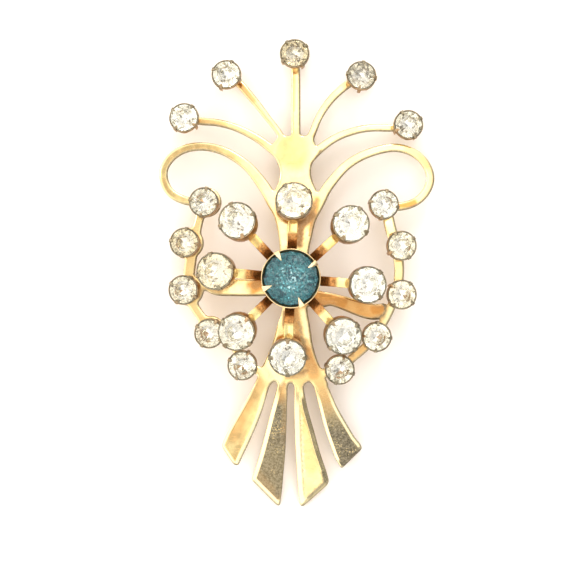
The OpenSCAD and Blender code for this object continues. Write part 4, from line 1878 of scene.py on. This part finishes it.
@dataclass
class Studio:
    """The pale table, the soft light and the camera above.

    Near, middle and far are three rows of soft light overhead, as the place and brightness of each strip.
    """

    frame_mm: float = 75.4
    aim: tuple[float, float] = (-0.96, -2.25)
    distance: float = 600.0
    level: float = 4.0
    sensor: float = 36.0
    floor_half: float = 1500.0
    table_colour: Colour = (0.94, 0.90, 0.87)
    table_glow: Colour = (0.075, 0.04, 0.005)
    reach: float = 0.5
    brightest: float = 3.0
    stone_bounces: int = 12
    side_dark: float = 1.0
    side_bright: float = 1.35
    ring_dark: float = 0.3
    ring_bright: float = 1.9
    ring_from: tuple[float, float] = (0.34, 0.46)
    top_from: tuple[float, float] = (0.82, 0.87)
    middle_from: tuple[float, float] = (-0.20, -0.08)
    far_from: tuple[float, float] = (0.04, 0.16)
    near: tuple[tuple[float, float], ...] = (
        (-0.5, 1.6), (-0.41, 1.7), (-0.36, 1.6), (-0.31, 1.1), (-0.26, 0.95), (-0.1, 0.8), (-0.07, 0.8),
        (-0.045, 2.8), (0.0, 2.1), (0.035, 1.5), (0.1, 1.4), (0.2, 1.35), (0.28, 1.4),
        (0.36, 1.7), (0.5, 1.6),
    )
    middle: tuple[tuple[float, float], ...] = (
        (-0.5, 1.6), (-0.41, 1.7), (-0.36, 1.6), (-0.31, 1.1), (-0.26, 1.0), (-0.19, 1.05), (-0.13, 2.0),
        (-0.06, 2.1), (-0.02, 1.7), (0.02, 1.3), (0.045, 0.8), (0.09, 0.8), (0.15, 0.9),
        (0.2, 1.5), (0.28, 1.6), (0.36, 1.7), (0.5, 1.5),
    )
    far: tuple[tuple[float, float], ...] = (
        (-0.5, 1.6), (-0.41, 1.7), (-0.36, 1.6), (-0.31, 0.9), (-0.27, 0.7), (-0.22, 0.8), (-0.18, 0.9),
        (-0.14, 1.2), (-0.1, 1.9), (-0.055, 2.4), (0.0, 2.4), (0.05, 2.5), (0.14, 2.6),
        (0.22, 2.9), (0.3, 2.3), (0.36, 1.7), (0.5, 1.5),
    )

    def camera(self) -> None:
        """Hangs the camera straight above, with the photograph's framing."""
        data = bpy.data.cameras.new("camera_above")
        data.sensor_width = self.sensor
        data.lens = self.sensor * self.distance / self.frame_mm
        data.clip_start = 0.01
        data.clip_end = 10.0
        camera = bpy.data.objects.new("camera_above", data)
        camera.location = (self.aim[0] * MM, self.aim[1] * MM, (self.level + self.distance) * MM)
        bpy.context.scene.collection.objects.link(camera)
        bpy.context.scene.camera = camera

    def paths(self) -> None:
        """Lets light turn often enough inside the stones to find its way out."""
        light = bpy.context.scene.cycles
        light.glossy_bounces = self.stone_bounces
        light.max_bounces = self.stone_bounces + 6

    def floor(self) -> None:
        """Lays the table's surface."""
        Bench.clear()
        bpy.ops.mesh.primitive_plane_add(size=2 * self.floor_half * MM, location=(0, 0, 0))
        table = bpy.context.object
        table.name = "table_top"
        made = bpy.data.materials.new("table_paper")
        Sheet.blank(made).surface({
            "Base Color": self.table_colour,
            "Roughness": 0.9,
            "Specular IOR Level": 0.1,
            "Emission Color": self.table_glow,
            "Emission Strength": 1.0,
        })
        table.data.materials.append(made)

    def strips(self, sheet: Sheet, across: Socket, row: Sequence[tuple[float, float]]) -> Socket:
        """Makes one row of bright and dark strips overhead.

        Args:
            sheet: the world's node tree.
            across: place across the room, from 0 on the left to 1.
            row: place and brightness of each strip.

        Returns:
            The brightness, as a share of the brightest.
        """
        made = sheet.node("ShaderNodeValToRGB", {0: across})
        ramp = made.color_ramp
        ramp.interpolation = "B_SPLINE"
        ends = {0: 0, len(row) - 1: -1}
        for index, (place, level) in enumerate(row):
            at = 0.5 + 0.5 * place / self.reach
            stop = ramp.elements[ends[index]] if index in ends else ramp.elements.new(at)
            stop.color = (level / self.brightest,) * 3 + (1.0,)
        return made.outputs[0]

    def sky(self) -> None:
        """Surrounds the table with a soft pale room, brighter overhead and on the left."""
        world = bpy.data.worlds.new("pale_room")
        sheet = Sheet.blank(world)
        way = sheet.node("ShaderNodeTexCoord").outputs["Generated"]
        x, y, z = sheet.node("ShaderNodeSeparateXYZ", {0: way}).outputs
        left = sheet.ramp(x, 0.25, -0.35, self.side_dark, self.side_bright)
        low = sheet.math("MULTIPLY", left, sheet.ramp(y, -0.75, -0.2, 0.8, 1.0))
        ring = sheet.ramp(x, 0.74, 0.55, self.ring_dark, self.ring_bright)
        side = sheet.mix(sheet.ramp(z, *self.ring_from), low, ring)
        high = sheet.ramp(z, *self.top_from)
        across = sheet.ramp_line(x, -self.reach, self.reach)
        near, middle, far = (self.strips(sheet, across, row) for row in (self.near, self.middle, self.far))
        top = sheet.mix(sheet.ramp(y, *self.middle_from), near, middle)
        top = sheet.mix(sheet.ramp(y, *self.far_from), top, far)
        light = sheet.mix(high, side, sheet.math("MULTIPLY", top, self.brightest))
        lamp = sheet.node("ShaderNodeBackground", {"Color": (1.0, 0.985, 0.96), "Strength": light})
        plain = sheet.node("ShaderNodeBackground", {"Color": (1.0, 1.0, 1.0), "Strength": 1.0})
        seen = sheet.node("ShaderNodeLightPath").outputs["Is Camera Ray"]
        both = sheet.node("ShaderNodeMixShader", {0: seen, 1: lamp.outputs[0], 2: plain.outputs[0]})
        sheet.node("ShaderNodeOutputWorld", {"Surface": both.outputs[0]})
        bpy.context.scene.world = world

    def lamps(self) -> None:
        """Adds the softboxes whose edges sparkle in the stones."""
        for name, place, size, power in (
            ("box_left", (-0.44, 0.16, 0.26), 0.14, 0.35),
            ("box_back", (0.08, 0.40, 0.34), 0.10, 0.3),
        ):
            data = bpy.data.lights.new(name, "AREA")
            data.shape = "SQUARE"
            data.size = size
            data.energy = power
            lamp = bpy.data.objects.new(name, data)
            lamp.location = place
            lamp.rotation_euler = (-Vector(place)).to_track_quat("-Z", "Y").to_euler()
            bpy.context.scene.collection.objects.link(lamp)

    def build(self) -> None:
        """Sets up the camera, the table, the light and the plain development of the picture."""
        self.camera()
        self.paths()
        self.floor()
        self.sky()
        self.lamps()
        view = bpy.context.scene.view_settings
        view.view_transform = "Standard"
        view.look = "None"
        view.exposure = 0.0


@dataclass
class PinBack:
    """The closed pin under the spine, with its riveted hinge and its rolled catch.

    Each plate has half its width and half its length.
    """

    hinge: tuple[float, float] = (0.45, 16.5)
    catch: tuple[float, float] = (0.45, -12.2)
    axis: float = 1.0
    wire: float = 0.45
    point_y: float = -13.4
    ear: float = 0.6
    half: float = 2.2
    barrel: float = 0.85
    hinge_plate: tuple[float, float] = (2.2, 1.7)
    catch_plate: tuple[float, float] = (1.7, 1.4)
    catch_level: float = 2.4
    catch_length: float = 2.2
    plate_thick: float = 0.25
    coil_pitch: float = 0.64
    coil_width: float = 0.62
    taper: float = 4.5
    taper_cuts: tuple[float, ...] = (4.5, 2.6, 1.3, 0.4)
    point_share: float = 0.2

    @staticmethod
    def ease(piece: Piece, width: float, segments: int = 2) -> Piece:
        """Rounds a part's sharp edges."""
        return Bench.bevel(piece, width, segments, 40.0)

    @staticmethod
    def under_sheet(piece: Piece, level: float) -> None:
        """Raises a part's vertices above a level to the sheet's back."""
        for vert in piece.data.vertices:
            if vert.co.z > level:
                vert.co.z = float(DOME.back(np.array(vert.co.x), np.array(vert.co.y))) - DOME.gap
        piece.data.update()

    def rod(self, radius: float, length: float, place: Vector, turn: Matrix, sides: int = 32) -> Piece:
        """Adds a round bar.

        Args:
            radius: its radius.
            length: its length.
            place: its middle.
            turn: the turn from upright to its direction.
            sides: the number of its sides.

        Returns:
            The bar.
        """
        bar = Bench.cylinder(sides, radius, length)
        bar.data.transform(Matrix.Translation(place) @ turn)
        return bar

    def plate(self, half_u: float, v0: float, v1: float, low: float) -> Piece:
        """Cuts a soldered plate that follows the sheet's back.

        Args:
            half_u: half the plate's width.
            v0: its lower edge in plan.
            v1: its upper edge in plan.
            low: height of its underside.

        Returns:
            The plate.
        """
        Bench.clear()
        bpy.ops.mesh.primitive_cube_add(size=1.0, location=(0, 0, 0))
        plate = bpy.context.object
        with Bench.edit(plate):
            bpy.ops.mesh.select_all(action="SELECT")
            bpy.ops.mesh.subdivide(number_cuts=3)
        for vert in plate.data.vertices:
            u = self.hinge[0] + 2 * half_u * vert.co.x
            v = v0 + (v1 - v0) * (vert.co.y + 0.5)
            rise = self.plate_thick * (vert.co.z + 0.5)
            vert.co = (u, v, low if vert.co.z < -0.4 else low + rise)
        self.under_sheet(plate, low + 0.2)
        return self.ease(plate, 0.12)

    def build_hinge(self) -> list[Piece]:
        """Makes the hinge: its plate, two ears, the barrel with its coil, and the rivet's heads.

        Returns:
            The hinge's parts.
        """
        u, v = self.hinge
        across = Matrix.Rotation(math.radians(90), 4, "Y")
        half_u, half_v = self.hinge_plate
        parts = [self.plate(half_u, v - half_v, v + half_v, 2.0 * self.axis)]
        for side in (-1, 1):
            middle = Vector((u + side * (self.half - self.ear / 2), v, self.axis))
            ear = self.rod(self.axis, self.ear, middle, across, 40)
            for vert in ear.data.vertices:
                rise = vert.co.z - self.axis
                if rise > 0:
                    vert.co.y = v + math.copysign(min(1.2, 1.0 + 0.2 * rise), vert.co.y - v)
                    vert.co.z = self.axis + 1.25 * rise
            ear.data.update()
            parts.append(self.ease(ear, 0.08))
            head = self.rod(0.42, 0.24, middle + Vector((side * self.ear / 2, 0, 0)), across, 24)
            parts.append(self.ease(head, 0.09, 3))
        barrel = self.rod(self.barrel * 0.72, 2 * self.half - self.ear, Vector((u, v, self.axis)), across)
        parts.append(self.ease(barrel, 0.06))
        for step in (-1, 0, 1):
            middle = Vector((u + self.coil_pitch * step, v, self.axis))
            turn = self.rod(self.barrel, self.coil_width, middle, across, 40)
            parts.append(self.ease(turn, 0.26, 4))
        return parts

    def build_wire(self) -> Piece:
        """Draws the pin's wire down to its point.

        Returns:
            The wire.
        """
        u, v = self.hinge
        length = v - self.point_y
        along = Matrix.Rotation(math.radians(-90), 4, "X")
        wire = self.rod(self.wire, length, Vector((u, v - length / 2, self.axis)), along, 24)
        with Bench.edit(wire):
            for back in self.taper_cuts:
                bpy.ops.mesh.select_all(action="SELECT")
                bpy.ops.mesh.bisect(plane_co=(u, self.point_y + back, self.axis), plane_no=(0, 1, 0))
        for vert in wire.data.vertices:
            share = min(1.0, (vert.co.y - self.point_y) / self.taper)
            width = self.point_share + (1.0 - self.point_share) * math.sqrt(max(share, 0.0))
            vert.co.x = u + (vert.co.x - u) * width
            vert.co.z = self.axis + (vert.co.z - self.axis) * width
        wire.data.update()
        return self.ease(wire, 0.04)

    def build_catch(self) -> list[Piece]:
        """Rolls the catch from a strip, open on one side for the pin.

        Returns:
            The catch and its plate.
        """
        u, v = self.catch
        foot = self.axis - self.wire + 0.05
        profile = (
            (-1.7, 1.3), (-1.7, 0.0), (1.7, 0.0), (1.7, 2.45), (-1.7, 2.45), (-1.7, 2.1),
            (1.2, 2.1), (1.2, foot), (-1.2, foot), (-1.2, 1.3),
        )
        near = v + self.catch_length / 2
        strip = Bench.mesh("catch", [(u + x, near, z) for x, z in profile], [range(len(profile))])
        with Bench.edit(strip):
            bpy.ops.mesh.select_all(action="SELECT")
            Bench.extrude((0, -self.catch_length, 0))
        Bench.outward(strip)
        half_u, half_v = self.catch_plate
        return [self.ease(strip, 0.16, 3), self.plate(half_u, v - half_v, v + half_v, self.catch_level)]

    def build(self) -> Piece:
        """Makes the closed pin in one piece.

        Returns:
            The finished piece.
        """
        parts = self.build_hinge() + [self.build_wire()] + self.build_catch()
        work = Bench.join(parts)
        Bench.outward(work)
        Bench.smooth(work, 40.0)
        height = Bench.points(work)[:, 2]
        Bench.paint(work, "warm", 0.3 * smoothstep(height, 1.4, 2.4))
        Bench.paint(work, "wear_and_highlight", 0.5 * (1.0 - smoothstep(height, 0.1, 0.7)))
        Bench.paint(work, "tarnish_and_shade_mask", 0.5 * smoothstep(height, 1.2, 2.2))
        work.data.materials.append(PIN_STEEL.material())
        return Bench.deliver(work, "pin_work", Slot.PIN, ["pin_back"])


def main() -> None:
    """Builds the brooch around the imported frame."""
    logging.basicConfig(level=logging.INFO, format="%(message)s")
    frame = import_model()
    nodes = frame["nodes"]
    Studio().build()
    SprayFrame().build(nodes["spray_frame"], SHEET_GILT)
    flower = Flower()
    flower.build_arms(FLOWER_GILT)
    flower.build_ring(RING_GILT)
    Jewels().build()
    PinBack().build()


if __name__ == "__main__":
    main()
